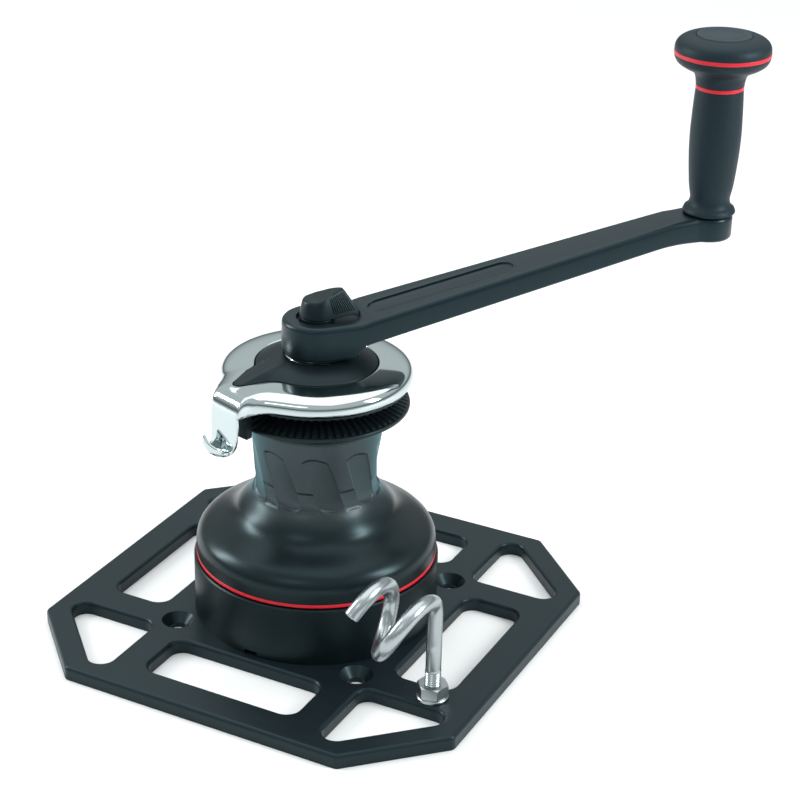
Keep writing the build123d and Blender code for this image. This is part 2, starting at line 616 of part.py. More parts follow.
with BuildPart() as jaw_screws:
    for k in range(6):
        with BuildSketch(Plane.XZ) as blank:
            with BuildLine():
                Polyline((0, 151.0), (1.95, 151.0), (1.95, 166.45), (3.75, 168.25), (0, 168.25), close=True)
            make_face()
        screw = revolve(blank.sketch, axis=Axis.Z, mode=Mode.PRIVATE)
        add(screw.moved(Location(polar(31.0, 30 + 60 * k))))
    with BuildSketch(Plane.XY.offset(166.6)):
        with PolarLocations(31.0, 6, start_angle=30):
            RegularPolygon(1.25, 6, major_radius=False)
    extrude(amount=2, mode=Mode.SUBTRACT)
write(jaw_screws, "jaw_screws")

with BuildPart() as jaw_springs:
    for k in range(SPRING_COUNT):
        place = polar(SPRING_PITCH_R, 60 * k)
        add(coil(place, 139.4, 9.4, 5, SPRING_R, SPRING_WIRE_R))
write(jaw_springs, "jaw_springs")

# ---------------------------------------------------------------- arm support, stripper arm and cover

with BuildPart() as arm_support:
    revolve(section((STEM_R + 0.1, 163.4), (26.4, 163.4), (26.4, 169.4), (52.0, 169.4), (53.4, 170.4),
                    (53.4, 175.6), (STEM_R + 0.1, 175.6)), axis=Axis.Z)
    extrude(annulus(25.0, 0, 173.9), amount=3, mode=Mode.SUBTRACT)
    with BuildSketch(Plane.XY.offset(171)):
        with PolarLocations(ARM_SCREW_PITCH_R, 3, start_angle=40):
            Circle(1.65)
    extrude(amount=5, mode=Mode.SUBTRACT)
write(arm_support, "arm_support")

with BuildPart() as support_retaining_ring:
    extrude(annulus(24.6, STEM_R - 1.1, 174.1), amount=1.2)
    with Locations((22, 0, 174.6)):
        Box(12, 7, 4, mode=Mode.SUBTRACT)
write(support_retaining_ring, "support_retaining_ring")


def teardrop(bottom, grow):
    """Outline of the top cover: a disc with a tail that points at the feeder tab."""
    with BuildSketch(Plane.XY.offset(bottom)) as face:
        with BuildSketch(mode=Mode.PRIVATE) as tail:
            Polygon((-31.5, -20.0), (-28.6, -56.0), (-17.4, -58.2), (-8.0, -36.4), (0, 0), align=None)
            fillet(tail.vertices().filter_by(lambda v: v.Y < -50), 4.4)
        Circle(COVER_R)
        add(tail.sketch)
        corners = face.vertices().filter_by(lambda v: abs(hypot(v.X, v.Y) - COVER_R) < 0.1)
        fillet(corners, 9.0)
        if grow:
            offset(amount=grow, kind=Kind.ARC)
    return face.sketch


def feeder_point(across, outward, height):
    """Point in the feeder's own directions: across the tab, away from the axis, up."""
    a = radians(FEEDER_ANGLE)
    return (outward * cos(a) - across * sin(a), outward * sin(a) + across * cos(a), height)


feeder_out = Vector(*polar(1, FEEDER_ANGLE))
feeder_across = Vector(*polar(1, FEEDER_ANGLE + 90))
tab_plane = Plane(origin=feeder_out * TAB_REACH, x_dir=feeder_across, z_dir=feeder_out)
gutter_plane = Plane(origin=feeder_point(TAB_LEFT, TAB_REACH + LIP_R, GUTTER_Z), x_dir=feeder_out,
                     z_dir=feeder_across)

with BuildPart() as stripper_arm:
    with BuildSketch(Plane.XZ):
        with BuildLine():
            Polyline((33.0, 175.8), (54.0, 175.8))
            Bezier((54.0, 175.8), (57.0, 175.5), (58.0, 173.5), (58.2, ARM_LIP_Z))
            Line((58.2, ARM_LIP_Z), (ARM_R, ARM_LIP_Z))
            Bezier((ARM_R, ARM_LIP_Z), (59.8, 175.6), (57.5, 179.0), (50.0, 179.5))
            Polyline((50.0, 179.5), (33.0, ARM_TOP_Z), (33.0, 175.8))
        make_face()
    revolve(axis=Axis.Z)
    # A flat lobe carries the feeder tab, and the tab's foot curls out and up into a short gutter.
    with BuildSketch(Plane.XY.offset(176.0)):
        Polygon(*[feeder_point(*corner, 0)[:2] for corner in LOBE_CORNERS], align=None)
    extrude(amount=3.2)
    with BuildSketch(tab_plane):
        Polygon((TAB_LEFT, 179.2), (14.2, 179.2), (13.2, 158), (12.6, 151), (8.5, 146.0), (8.5, GUTTER_Z),
                (TAB_LEFT, GUTTER_Z), align=None)
    extrude(amount=TAB_T)
    with BuildSketch(gutter_plane):
        with Locations((0, -LIP_R / 2)):
            Rectangle(2 * LIP_R, LIP_R)
        Circle(LIP_R, mode=Mode.INTERSECT)
        with Locations((LIP_R - TAB_T / 2, LIP_RISE / 2)):
            Rectangle(TAB_T, LIP_RISE)
        Circle(LIP_R - TAB_T, mode=Mode.SUBTRACT)
    extrude(amount=8.5 - TAB_LEFT)
    with BuildSketch(tab_plane.offset(TAB_T + 0.2)):
        Polygon((TAB_LEFT + 6, 152), (9.0, GUTTER_Z + 0.8), (9.0, 152), align=None)
    extrude(amount=10, mode=Mode.SUBTRACT)
    extrude(teardrop(COVER_BOTTOM - 0.2, 0.4), amount=8, mode=Mode.SUBTRACT)
    with Locations(Plane.XY.offset(COVER_BOTTOM - 0.2)):
        with PolarLocations(ARM_SCREW_PITCH_R, 3, start_angle=40):
            CounterBoreHole(1.65, 2.3, 1.3)
write(stripper_arm, "stripper_arm")

with BuildPart() as arm_screws:
    for bottom, radius, height in ((171.2, 1.6, 5.5), (176.7, 2.2, 1.2)):
        with BuildSketch(Plane.XY.offset(bottom)):
            with PolarLocations(ARM_SCREW_PITCH_R, 3, start_angle=40):
                Circle(radius)
        extrude(amount=height)
write(arm_screws, "arm_screws")

with BuildPart() as top_cover:
    extrude(teardrop(COVER_BOTTOM, 0), amount=2.3)
    with BuildSketch(Plane.XZ):
        with BuildLine():
            Polyline((20.5, COVER_BOTTOM), (COVER_R - 0.4, COVER_BOTTOM), (COVER_R - 0.4, COVER_BOTTOM + 2.3))
            Bezier((COVER_R - 0.4, COVER_BOTTOM + 2.3), (33.0, 184.4), (27.0, 186.2), (20.5, 186.4))
            Line((20.5, 186.4), (20.5, COVER_BOTTOM))
        make_face()
    revolve(axis=Axis.Z)
    extrude(annulus(20.5, 0, COVER_BOTTOM), amount=9, mode=Mode.SUBTRACT)
write(top_cover, "top_cover")

with BuildPart() as peeler:
    with BuildSketch(Plane.XY.offset(150.0)):
        Circle(65.0)
        Circle(60.4, mode=Mode.SUBTRACT)
        Polygon((0, 0), polar(90, -101), polar(90, -108), align=None, mode=Mode.INTERSECT)
    extrude(amount=26.0)
    with BuildSketch(Plane.XY.offset(159.7)):
        Circle(61.0)
        Circle(43.0, mode=Mode.SUBTRACT)
        Polygon((0, 0), polar(90, -101), polar(90, -106), align=None, mode=Mode.INTERSECT)
    extrude(amount=2.0)
write(peeler, "peeler")

# ---------------------------------------------------------------- handle

arm_dir = Vector(*polar(1, HANDLE_ANGLE))
side_plane = Plane(origin=(0, 0, 0), x_dir=arm_dir, z_dir=Vector(*polar(1, HANDLE_ANGLE - 90)))
arm_slope = degrees(atan2(254.5 - 217.6, 228.0 - 57.0))
boss_at = polar(HANDLE_LENGTH, HANDLE_ANGLE)


def along_arm(bottom, start, end, start_r, end_r):
    """Outline in plan: two discs on the arm's centre line joined by straight sides."""
    with BuildSketch(Plane.XY.offset(bottom)) as face:
        with Locations(polar(start, HANDLE_ANGLE)):
            Circle(start_r)
        with Locations(polar(end, HANDLE_ANGLE)):
            Circle(end_r)
        make_hull()
    return face.sketch


with BuildPart() as handle_arm:
    with BuildSketch(side_plane):
        Polygon((-24, HANDLE_BOTTOM), (18.5, HANDLE_BOTTOM), (25, 195.3), (226, 239.9), (272, 239.9),
                (272, BOSS_TOP), (234, BOSS_TOP), (27, 211.1), (21, HUB_TOP_Z), (-24, HUB_TOP_Z), align=None)
    extrude(amount=24, both=True)
    extrude(along_arm(180, 0, HANDLE_LENGTH, 21.8, 15.2), amount=100, mode=Mode.INTERSECT)
    outer = handle_arm.faces().filter_by(Axis.Z).sort_by(Axis.Z)
    fillet(outer[-1].edges().filter_by(GeomType.CIRCLE), 2.0)
    extrude(along_arm(HUB_TOP_Z - 3, 0, 14, 13.0, 13.0), amount=10, mode=Mode.SUBTRACT)
    recess_plane = Plane(origin=arm_dir * 77.5 + Vector(0, 0, 217.6 + (77.5 - 57) * 0.2158 - 1.1),
                         x_dir=arm_dir + Vector(0, 0, tan(radians(arm_slope))),
                         z_dir=Vector(0, 0, 1) - arm_dir * tan(radians(arm_slope)))
    with BuildSketch(recess_plane):
        SlotOverall(97, 16)
    extrude(amount=6, mode=Mode.SUBTRACT)
    with BuildSketch(Plane.XY.offset(HANDLE_BOTTOM)):
        Rectangle(STUD_SQUARE + 0.1, STUD_SQUARE + 0.1)
    extrude(amount=STUD_TOP - HANDLE_BOTTOM + 0.1, mode=Mode.SUBTRACT)
    extrude(annulus(6.6, 0, STUD_TOP), amount=20, mode=Mode.SUBTRACT)
    with Locations(Location((*boss_at, BOSS_TOP))):
        Hole(5.05)
write(handle_arm, "handle_arm")

with BuildPart() as handle_stud:
    with BuildSketch(Plane.XY.offset(STUD_BOTTOM)):
        RectangleRounded(STUD_SQUARE, STUD_SQUARE, 1.2)
    extrude(amount=STUD_TOP - STUD_BOTTOM)
    extrude(annulus(3.56, 0, STUD_BOTTOM), amount=STUD_TOP - STUD_BOTTOM, mode=Mode.SUBTRACT)
write(handle_stud, "handle_stud")

with BuildPart() as lock_shaft:
    with BuildSketch(Plane.XY.offset(STUD_BOTTOM - 4.3)):
        RectangleRounded(STUD_SQUARE - 0.1, STUD_SQUARE - 0.1, 1.2)
    extrude(amount=3.9)
    extrude(annulus(3.5, 0, STUD_BOTTOM - 4.3), amount=216.0 - STUD_BOTTOM + 4.3)
write(lock_shaft, "lock_shaft")

with BuildPart() as lock_spring:
    add(coil((0, 0), STUD_TOP + 0.8, 5.2, 3, 5.2, 0.5))
write(lock_spring, "lock_spring")

with BuildPart() as lock_knob:
    with BuildSketch(side_plane):
        Polygon((-11, 210.6), (-11, 221.5), (-8, 223.0), (0, 224.2), (14.5, 227.2), (17.5, 226.2),
                (25.0, 214.0), (26.2, 212.4), (26.2, 211.7), (17.0, 210.6), align=None)
    extrude(amount=12, both=True)
    extrude(along_arm(200, 0, 22.0, 11.0, 4.2), amount=40, mode=Mode.INTERSECT)
    extrude(annulus(11.0, 0, HUB_TOP_Z - 2.6), amount=3.4)
    extrude(annulus(3.53, 0, HUB_TOP_Z - 2.6), amount=8.7, mode=Mode.SUBTRACT)
write(lock_knob, "lock_knob")

# ---------------------------------------------------------------- grip and palm knob


def turned(*points, bore=0.0):
    """Part turned about the grip's axis from (radius, height) points."""
    with BuildPart() as body:
        revolve(section((bore, points[0][1]), *points, (bore, points[-1][1])), axis=Axis.Z)
    return body.part.moved(Location(boss_at))


with BuildPart() as grip_spindle:
    add(turned((5.0, 241.0), (5.0, 349.0), (4.2, 350.0)))
write(grip_spindle, "grip_spindle")

with BuildPart() as grip_bearings:
    for bottom in (257.5, 326.0):
        add(turned((9.45, bottom), (9.45, bottom + 8), bore=5.05))
write(grip_bearings, "grip_bearings")

with BuildPart() as spindle_nut:
    with BuildSketch(Plane.XY.offset(340.0)):
        with Locations(boss_at):
            RegularPolygon(6.5, 6, major_radius=False)
            Circle(5.03, mode=Mode.SUBTRACT)
    extrude(amount=7)
write(spindle_nut, "spindle_nut")

with BuildPart() as grip_sleeve:
    with BuildSketch(Plane.XZ) as sleeve_face:
        with BuildLine():
            Polyline((9.5, 336.0), (9.5, 256.3), (16.3, 256.3), (16.5, 257.4))
            Spline((16.5, 257.4), (13.3, 260.5), (12.3, 264.2), (13.9, 275.0), (14.9, 286.0), (15.8, 308.0),
                   (15.0, 330.3), (14.5, 336.0))
            Line((14.5, 336.0), (9.5, 336.0))
        make_face()
    add(revolve(sleeve_face.sketch, axis=Axis.Z, mode=Mode.PRIVATE).moved(Location(boss_at)))
write(grip_sleeve, "grip_sleeve")

with BuildPart() as neck_ring:
    add(turned((14.4, 336.0), (14.7, 336.6), (14.7, 337.8), (14.4, 338.4), bore=9.5))
write(neck_ring, "neck_ring")

with BuildPart() as palm_knob_lower:
    with BuildSketch(Plane.XZ) as lower_face:
        with BuildLine():
            Polyline((9.5, 352.0), (9.5, 338.4), (14.8, 338.4))
            Spline((14.8, 338.4), (15.8, 344.6), (19.9, 348.2), (26.6, 351.8), (29.2, 357.3))
            Polyline((29.2, 357.3), (0, 357.3), (0, 352.0), (9.5, 352.0))
        make_face()
    add(revolve(lower_face.sketch, axis=Axis.Z, mode=Mode.PRIVATE).moved(Location(boss_at)))
write(palm_knob_lower, "palm_knob_lower")

with BuildPart() as knob_ring:
    add(turned((29.2, 357.3), (29.5, 357.8), (29.5, 359.2), (29.2, 359.7)))
write(knob_ring, "knob_ring")

with BuildPart() as palm_knob_upper:
    with BuildSketch(Plane.XZ) as upper_face:
        with BuildLine():
            Polyline((0, 367.6), (0, 359.7), (29.2, 359.7))
            Bezier((29.2, 359.7), (29.6, 365.0), (25.8, 368.2), (17.2, 369.1))
            Polyline((17.2, 369.1), (17.2, 367.6), (0, 367.6))
        make_face()
    add(revolve(upper_face.sketch, axis=Axis.Z, mode=Mode.PRIVATE).moved(Location(boss_at)))
write(palm_knob_upper, "palm_knob_upper")

with BuildPart() as knob_cap:
    add(turned((17.0, 367.6), (17.0, 369.3), (15.6, 370.0)))
write(knob_cap, "knob_cap")
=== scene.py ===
import json
import math

import bmesh
import bpy
from mathutils import Matrix, Vector


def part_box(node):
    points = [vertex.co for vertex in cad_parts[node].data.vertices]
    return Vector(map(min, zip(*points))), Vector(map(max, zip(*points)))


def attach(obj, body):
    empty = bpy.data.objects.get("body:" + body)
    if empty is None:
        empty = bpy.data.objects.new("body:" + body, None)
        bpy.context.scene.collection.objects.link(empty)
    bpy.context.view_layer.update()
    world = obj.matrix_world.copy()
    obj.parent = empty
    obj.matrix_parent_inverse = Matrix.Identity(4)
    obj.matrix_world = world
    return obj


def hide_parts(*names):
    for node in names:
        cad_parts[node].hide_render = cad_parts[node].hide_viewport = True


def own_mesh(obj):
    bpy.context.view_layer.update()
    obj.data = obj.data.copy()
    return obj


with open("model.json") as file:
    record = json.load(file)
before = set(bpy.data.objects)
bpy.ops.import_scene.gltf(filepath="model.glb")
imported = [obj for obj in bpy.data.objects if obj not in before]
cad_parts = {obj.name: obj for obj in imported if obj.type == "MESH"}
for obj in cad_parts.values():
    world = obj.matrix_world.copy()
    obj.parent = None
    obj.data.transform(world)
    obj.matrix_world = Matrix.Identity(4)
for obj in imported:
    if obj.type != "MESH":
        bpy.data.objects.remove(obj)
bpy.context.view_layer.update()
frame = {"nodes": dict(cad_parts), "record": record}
MM = 0.001

# ---------------------------------------------------------------- places from the CAD frame, in millimetres


def mm_box(node):
    """Lowest and highest corner of a CAD node in millimetres."""
    low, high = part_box(node)
    return low / MM, high / MM


grip_low, grip_high = mm_box("grip_sleeve")
washer_low, washer_high = mm_box("pigtail_washer")
NUT_TOP = mm_box("pigtail_nut")[1].z
GRIP_AXIS = ((grip_low.x + grip_high.x) / 2, (grip_low.y + grip_high.y) / 2)
GUIDE_AXIS = ((washer_low.x + washer_high.x) / 2, (washer_low.y + washer_high.y) / 2)
HANDLE_ANGLE = math.atan2(GRIP_AXIS[1], GRIP_AXIS[0])
HANDLE_LENGTH = math.hypot(*GRIP_AXIS)
DRUM_R = mm_box("drum")[1].x

# ---------------------------------------------------------------- mesh helpers


def new_piece(name, points, faces, material, body, nodes=(), sharp=35):
    """A mesh in millimetres made into a piece that rides on a body and stands for CAD nodes."""
    mesh = bpy.data.meshes.new(name)
    mesh.from_pydata([(x * MM, y * MM, z * MM) for x, y, z in points], [], faces)
    mesh.validate()
    built = bmesh.new()
    built.from_mesh(mesh)
    bmesh.ops.remove_doubles(built, verts=built.verts, dist=1e-6)
    bmesh.ops.recalc_face_normals(built, faces=built.faces)
    built.to_mesh(mesh)
    built.free()
    piece = bpy.data.objects.new(name, mesh)
    bpy.context.scene.collection.objects.link(piece)
    finish_piece(piece, material, sharp)
    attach(piece, body)
    if nodes:
        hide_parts(*nodes)
    return piece


def finish_piece(piece, material, sharp=35):
    """Smooth shading with sharp edges over an angle, and one material."""
    mesh = piece.data
    mesh.materials.clear()
    mesh.materials.append(material)
    mesh.polygons.foreach_set("use_smooth", [True] * len(mesh.polygons))
    mesh.set_sharp_from_angle(angle=math.radians(sharp))


def applied(piece):
    """Replaces a piece's mesh with the result of its modifiers."""
    graph = bpy.context.evaluated_depsgraph_get()
    made = bpy.data.meshes.new_from_object(piece.evaluated_get(graph))
    piece.modifiers.clear()
    piece.data = made
    return piece


def grid_faces(columns, rows, closed=True):
    """Quads over a grid of points that closes round the columns, and also along the rows if it is closed."""
    faces = []
    for i in range(columns):
        k = (i + 1) % columns
        for j in range(rows if closed else rows - 1):
            m = (j + 1) % rows
            faces.append((i * rows + j, k * rows + j, k * rows + m, i * rows + m))
    return faces


def loop_faces(layer, around):
    """Quads that join one closed loop of points to the next loop."""
    low, high = layer * around, (layer + 1) * around
    return [(low + i, low + (i + 1) % around, high + (i + 1) % around, high + i) for i in range(around)]


def mirrored_lid(base, around, count):
    """Faces that close a loop whose two halves mirror each other."""
    faces = []
    for i in range(count):
        corners = (base + i, base + i + 1, base + (around - i - 1) % around, base + (around - i) % around)
        faces.append(tuple(dict.fromkeys(corners)))
    return faces


def bezier(p0, p1, p2, p3, count):
    """Points on a cubic curve, both ends included."""
    out = []
    for i in range(count + 1):
        t = i / count
        a, b, c, d = (1 - t) ** 3, 3 * t * (1 - t) ** 2, 3 * t * t * (1 - t), t ** 3
        out.append(tuple(a * w + b * x + c * y + d * z for w, x, y, z in zip(p0, p1, p2, p3)))
    return out


def through(points, steps=8):
    """Smooth open curve through a few points (Catmull-Rom)."""
    ends = [tuple(2 * a - b for a, b in zip(points[0], points[1]))]
    ends += list(points)
    ends += [tuple(2 * a - b for a, b in zip(points[-1], points[-2]))]
    out = [points[0]]
    for p0, p1, p2, p3 in zip(ends, ends[1:], ends[2:], ends[3:]):
        for i in range(1, steps + 1):
            t = i / steps
            out.append(tuple(
                0.5 * (2 * b + (c - a) * t + (2 * a - 5 * b + 4 * c - d) * t * t
                       + (3 * b - a - 3 * c + d) * t ** 3)
                for a, b, c, d in zip(p0, p1, p2, p3)))
    return out


def rounded(points, radius, steps=4):
    """Closed profile with each corner cut back by the same rounding."""
    out = []
    n = len(points)
    for i, corner in enumerate(points):
        before, after = points[i - 1], points[(i + 1) % n]
        size = min(radius, 0.45 * math.dist(before, corner), 0.45 * math.dist(corner, after))
        a = [c + (b - c) * size / math.dist(before, corner) for b, c in zip(before, corner)]
        b = [c + (q - c) * size / math.dist(corner, after) for q, c in zip(after, corner)]
        for k in range(steps + 1):
            t = k / steps
            out.append(tuple((1 - t) ** 2 * p + 2 * t * (1 - t) * c + t * t * q
                             for p, c, q in zip(a, corner, b)))
    return out


def lathe(name, profile, material, body, nodes=(), centre=(0, 0), segments=192, shift=None, sharp=35):
    """Closed (radius, height) profile turned about a vertical axis. shift(angle, r, z) may move a point."""
    points = []
    rows = len(profile)
    for i in range(segments):
        angle = 2 * math.pi * i / segments
        for radius, height in profile:
            if shift and radius > 0:
                radius, height = shift(angle, radius, height)
            points.append((centre[0] + radius * math.cos(angle), centre[1] + radius * math.sin(angle),
                           height))
    on_axis = {j for j in range(rows) if profile[j][0] == 0 and profile[(j + 1) % rows][0] == 0}
    faces = [face for face in grid_faces(segments, rows) if face[0] % rows not in on_axis]
    return new_piece(name, points, faces, material, body, nodes, sharp)


def ramp(x, low, high):
    """Smooth step from 0 at low to 1 at high."""
    t = min(1.0, max(0.0, (x - low) / (high - low)))
    return t * t * (3 - 2 * t)


def blend_list(x, table):
    """Straight interpolation in a short table of (x, value) pairs."""
    if x <= table[0][0]:
        return table[0][1]
    for (a, va), (b, vb) in zip(table, table[1:]):
        if x <= b:
            return va + (vb - va) * (x - a) / (b - a)
    return table[-1][1]


# ---------------------------------------------------------------- materials

BUMP_DISTANCE = 0.0002
# Tint of the reflections on everything that isn't metal.
SHEEN_TINT = (0.62, 0.93, 1.0, 1)
# Heights in metres between which the drum's finish changes from the bell's to the neck's.
NECK_BAND = (0.084, 0.097)
NECK_DARK, NECK_LIGHT = (0.036, 0.046, 0.050), (0.078, 0.096, 0.103)
NECK_ROUGH, NECK_METALLIC = 0.40, 0.85


def noise(tree, scale, detail):
    """Soft noise that is fixed to the piece."""
    place = tree.nodes.new("ShaderNodeTexCoord")
    cloud = tree.nodes.new("ShaderNodeTexNoise")
    cloud.inputs["Scale"].default_value = scale
    cloud.inputs["Detail"].default_value = detail
    tree.links.new(place.outputs["Object"], cloud.inputs["Vector"])
    return cloud.outputs["Fac"]


def colour_mix(tree, share, low, high):
    """Blend of two colours by a share from 0 to 1."""
    mix = tree.nodes.new("ShaderNodeMix")
    mix.data_type = "RGBA"
    mix.inputs["A"].default_value = (*low, 1)
    mix.inputs["B"].default_value = (*high, 1)
    tree.links.new(share, mix.inputs["Factor"])
    return mix


def add_bump(tree, relief, strength):
    """Fine relief on the main shader."""
    bump = tree.nodes.new("ShaderNodeBump")
    bump.inputs["Strength"].default_value = strength
    bump.inputs["Distance"].default_value = BUMP_DISTANCE
    tree.links.new(relief, bump.inputs["Height"])
    tree.links.new(bump.outputs["Normal"], tree.nodes["Principled BSDF"].inputs["Normal"])


def smooth_band(tree, space, low, high):
    """0 below one height and 1 above another, in the piece's or the world's own space."""
    place = tree.nodes.new("ShaderNodeTexCoord")
    split = tree.nodes.new("ShaderNodeSeparateXYZ")
    band = tree.nodes.new("ShaderNodeMapRange")
    band.interpolation_type = "SMOOTHSTEP"
    band.inputs["From Min"].default_value = low
    band.inputs["From Max"].default_value = high
    tree.links.new(place.outputs[space], split.inputs["Vector"])
    tree.links.new(split.outputs["Z"], band.inputs["Value"])
    return band.outputs["Result"]


def surface(name, colour, rough, metallic=0.0, spots=0.15, spot_size=60.0, grain=0.0, grain_size=900.0,
            rough_change=0.06, specular=0.5):
    """Procedural finish: colour and gloss drift with soft noise, and a fine grain stands out as bump."""
    material = bpy.data.materials.new(name)
    material.use_nodes = True
    tree = material.node_tree
    shader = tree.nodes["Principled BSDF"]
    shader.inputs["Metallic"].default_value = metallic
    shader.inputs["Specular IOR Level"].default_value = specular
    shader.inputs["Specular Tint"].default_value = (1, 1, 1, 1) if metallic else SHEEN_TINT
    cloud = noise(tree, spot_size, 5)
    tint = colour_mix(tree, cloud, [c * (1 - spots) for c in colour], [c * (1 + spots) for c in colour])
    tree.links.new(tint.outputs["Result"], shader.inputs["Base Color"])
    gloss = tree.nodes.new("ShaderNodeMapRange")
    gloss.inputs["To Min"].default_value = max(0.02, rough - rough_change)
    gloss.inputs["To Max"].default_value = rough + rough_change
    tree.links.new(cloud, gloss.inputs["Value"])
    tree.links.new(gloss.outputs["Result"], shader.inputs["Roughness"])
    if grain:
        add_bump(tree, noise(tree, grain_size, 3), grain)
    return material


def turned_metal(name, colour, rough):
    """Machined metal: fine rings about the vertical axis."""
    material = surface(name, colour, rough, metallic=1.0, spots=0.08, spot_size=200)
    tree = material.node_tree
    place = tree.nodes.new("ShaderNodeTexCoord")
    rings = tree.nodes.new("ShaderNodeTexWave")
    rings.wave_type = "RINGS"
    rings.rings_direction = "Z"
    rings.inputs["Scale"].default_value = 900
    rings.inputs["Distortion"].default_value = 1.5
    tree.links.new(place.outputs["Object"], rings.inputs["Vector"])
    add_bump(tree, rings.outputs["Fac"], 0.12)
    return material


def drum_finish():
    """Satin black anodising on the bell and a lighter bead-blasted neck."""
    material = surface("drum_anodised", (0.0028, 0.0052, 0.0062), 0.30, spots=0.10, grain=0.04,
                       grain_size=2500, specular=0.32)
    tree = material.node_tree
    links = tree.links
    shader = tree.nodes["Principled BSDF"]
    band = smooth_band(tree, "Object", *NECK_BAND)
    blasted = colour_mix(tree, noise(tree, 1800, 4), NECK_DARK, NECK_LIGHT)
    both = tree.nodes.new("ShaderNodeMix")
    both.data_type = "RGBA"
    links.new(band, both.inputs["Factor"])
    links.new(shader.inputs["Base Color"].links[0].from_socket, both.inputs["A"])
    links.new(blasted.outputs["Result"], both.inputs["B"])
    links.new(both.outputs["Result"], shader.inputs["Base Color"])
    gloss = tree.nodes.new("ShaderNodeMix")
    links.new(band, gloss.inputs["Factor"])
    links.new(shader.inputs["Roughness"].links[0].from_socket, gloss.inputs["A"])
    gloss.inputs["B"].default_value = NECK_ROUGH
    links.new(gloss.outputs["Result"], shader.inputs["Roughness"])
    sheen = tree.nodes.new("ShaderNodeMath")
    sheen.operation = "MULTIPLY"
    sheen.inputs[1].default_value = NECK_METALLIC
    links.new(band, sheen.inputs[0])
    links.new(sheen.outputs["Value"], shader.inputs["Metallic"])
    return material


PLATE = surface("plate_anodised", (0.0062, 0.0112, 0.0138), 0.36, spots=0.12, grain=0.06, grain_size=2200,
                specular=0.30)
BASE = surface("base_anodised", (0.0035, 0.0070, 0.0085), 0.38, spots=0.12, grain=0.06, grain_size=2200,
               specular=0.25)
DRUM = drum_finish()
CHROME = surface("bright_chrome", (0.52, 0.58, 0.585), 0.075, metallic=1.0, spots=0.015, rough_change=0.02)
RED = surface("red_trim", (0.62, 0.006, 0.018), 0.38, spots=0.05, grain=0.04)
PLASTIC = surface("black_plastic", (0.0035, 0.0065, 0.0080), 0.40, spots=0.15, grain=0.2, grain_size=1600,
                  specular=0.28)
JAW = surface("jaw_plastic", (0.0055, 0.0090, 0.0105), 0.36, spots=0.15, grain=0.2, grain_size=1600,
              specular=0.35)
ARM = surface("arm_anodised", (0.0035, 0.0085, 0.0120), 0.34, spots=0.10, grain=0.10, grain_size=2000,
              specular=0.34)
RUBBER = surface("grip_rubber", (0.0065, 0.0120, 0.0175), 0.50, spots=0.12, grain=0.5, grain_size=1100,
                 specular=0.30)
CAP = surface("cap_plastic", (0.016, 0.025, 0.034), 0.42, spots=0.08, grain=0.2, grain_size=1500,
              specular=0.35)
STAINLESS = surface("polished_steel", (0.40, 0.44, 0.45), 0.30, metallic=1.0, spots=0.06, spot_size=120,
                    rough_change=0.05, grain=0.06, grain_size=500)
STEEL = turned_metal("machined_steel", (0.42, 0.43, 0.44), 0.30)
BRONZE = turned_metal("machined_bronze", (0.42, 0.25, 0.10), 0.32)
SLOT_MATERIALS = {"plate_alloy": PLATE, "base_black": BASE, "drum_alloy": DRUM, "bright_chrome": CHROME,
                  "red_trim": RED, "black_plastic": PLASTIC, "arm_alloy": ARM, "jaw_black": JAW,
                  "grip_rubber": RUBBER, "cap_plastic": CAP, "polished_steel": STAINLESS, "steel": STEEL,
                  "bronze": BRONZE}

for part in frame["record"]["subparts"]:
    finish_piece(frame["nodes"][part["node"]], SLOT_MATERIALS[part["material_slot"]], 30)

# ---------------------------------------------------------------- drum

PAD_COUNT, PAD_SLANT, PAD_DEPTH = 9, math.radians(0.5), 0.3
# Middle height, half height, direction of one pad at its middle, half width and how far its ends are rounded.
PAD_ROWS = ((113.0, 19.0, -54.4, 8.5, 0.16), (100.6, 6.8, -68.2, 5.7, 0.0))
NECK_BOTTOM, NECK_TOP, NECK_INSIDE_R = 88.0, 135.0, 37.0


def pad_cut(angle, radius, height):
    """Depth of the slanted grip pads that are cut round the neck."""
    deepest = 0.0
    for middle, half_height, phase, half_width, arch in PAD_ROWS:
        across = math.degrees(angle + (height - middle) * PAD_SLANT) - phase
        across = (across + 180 / PAD_COUNT) % (360 / PAD_COUNT) - 180 / PAD_COUNT
        side = math.radians(across) * radius
        up = abs(height - middle) / half_height
        round_off = arch * (side / half_width) ** 2
        inside = ramp(half_width - abs(side), -0.2, 0.8) * ramp((1 - up - round_off) * half_height, -0.2, 1.0)
        flat = radius - radius * math.cos(half_width / radius) / math.cos(side / radius)
        deepest = max(deepest, inside * (PAD_DEPTH + max(0.0, flat)))
    return deepest


def drum_shift(angle, radius, height):
    """Cuts the pads into the outer face only."""
    if radius > NECK_INSIDE_R and NECK_BOTTOM < height < NECK_TOP:
        return radius - pad_cut(angle, radius, height), height
    return radius, height


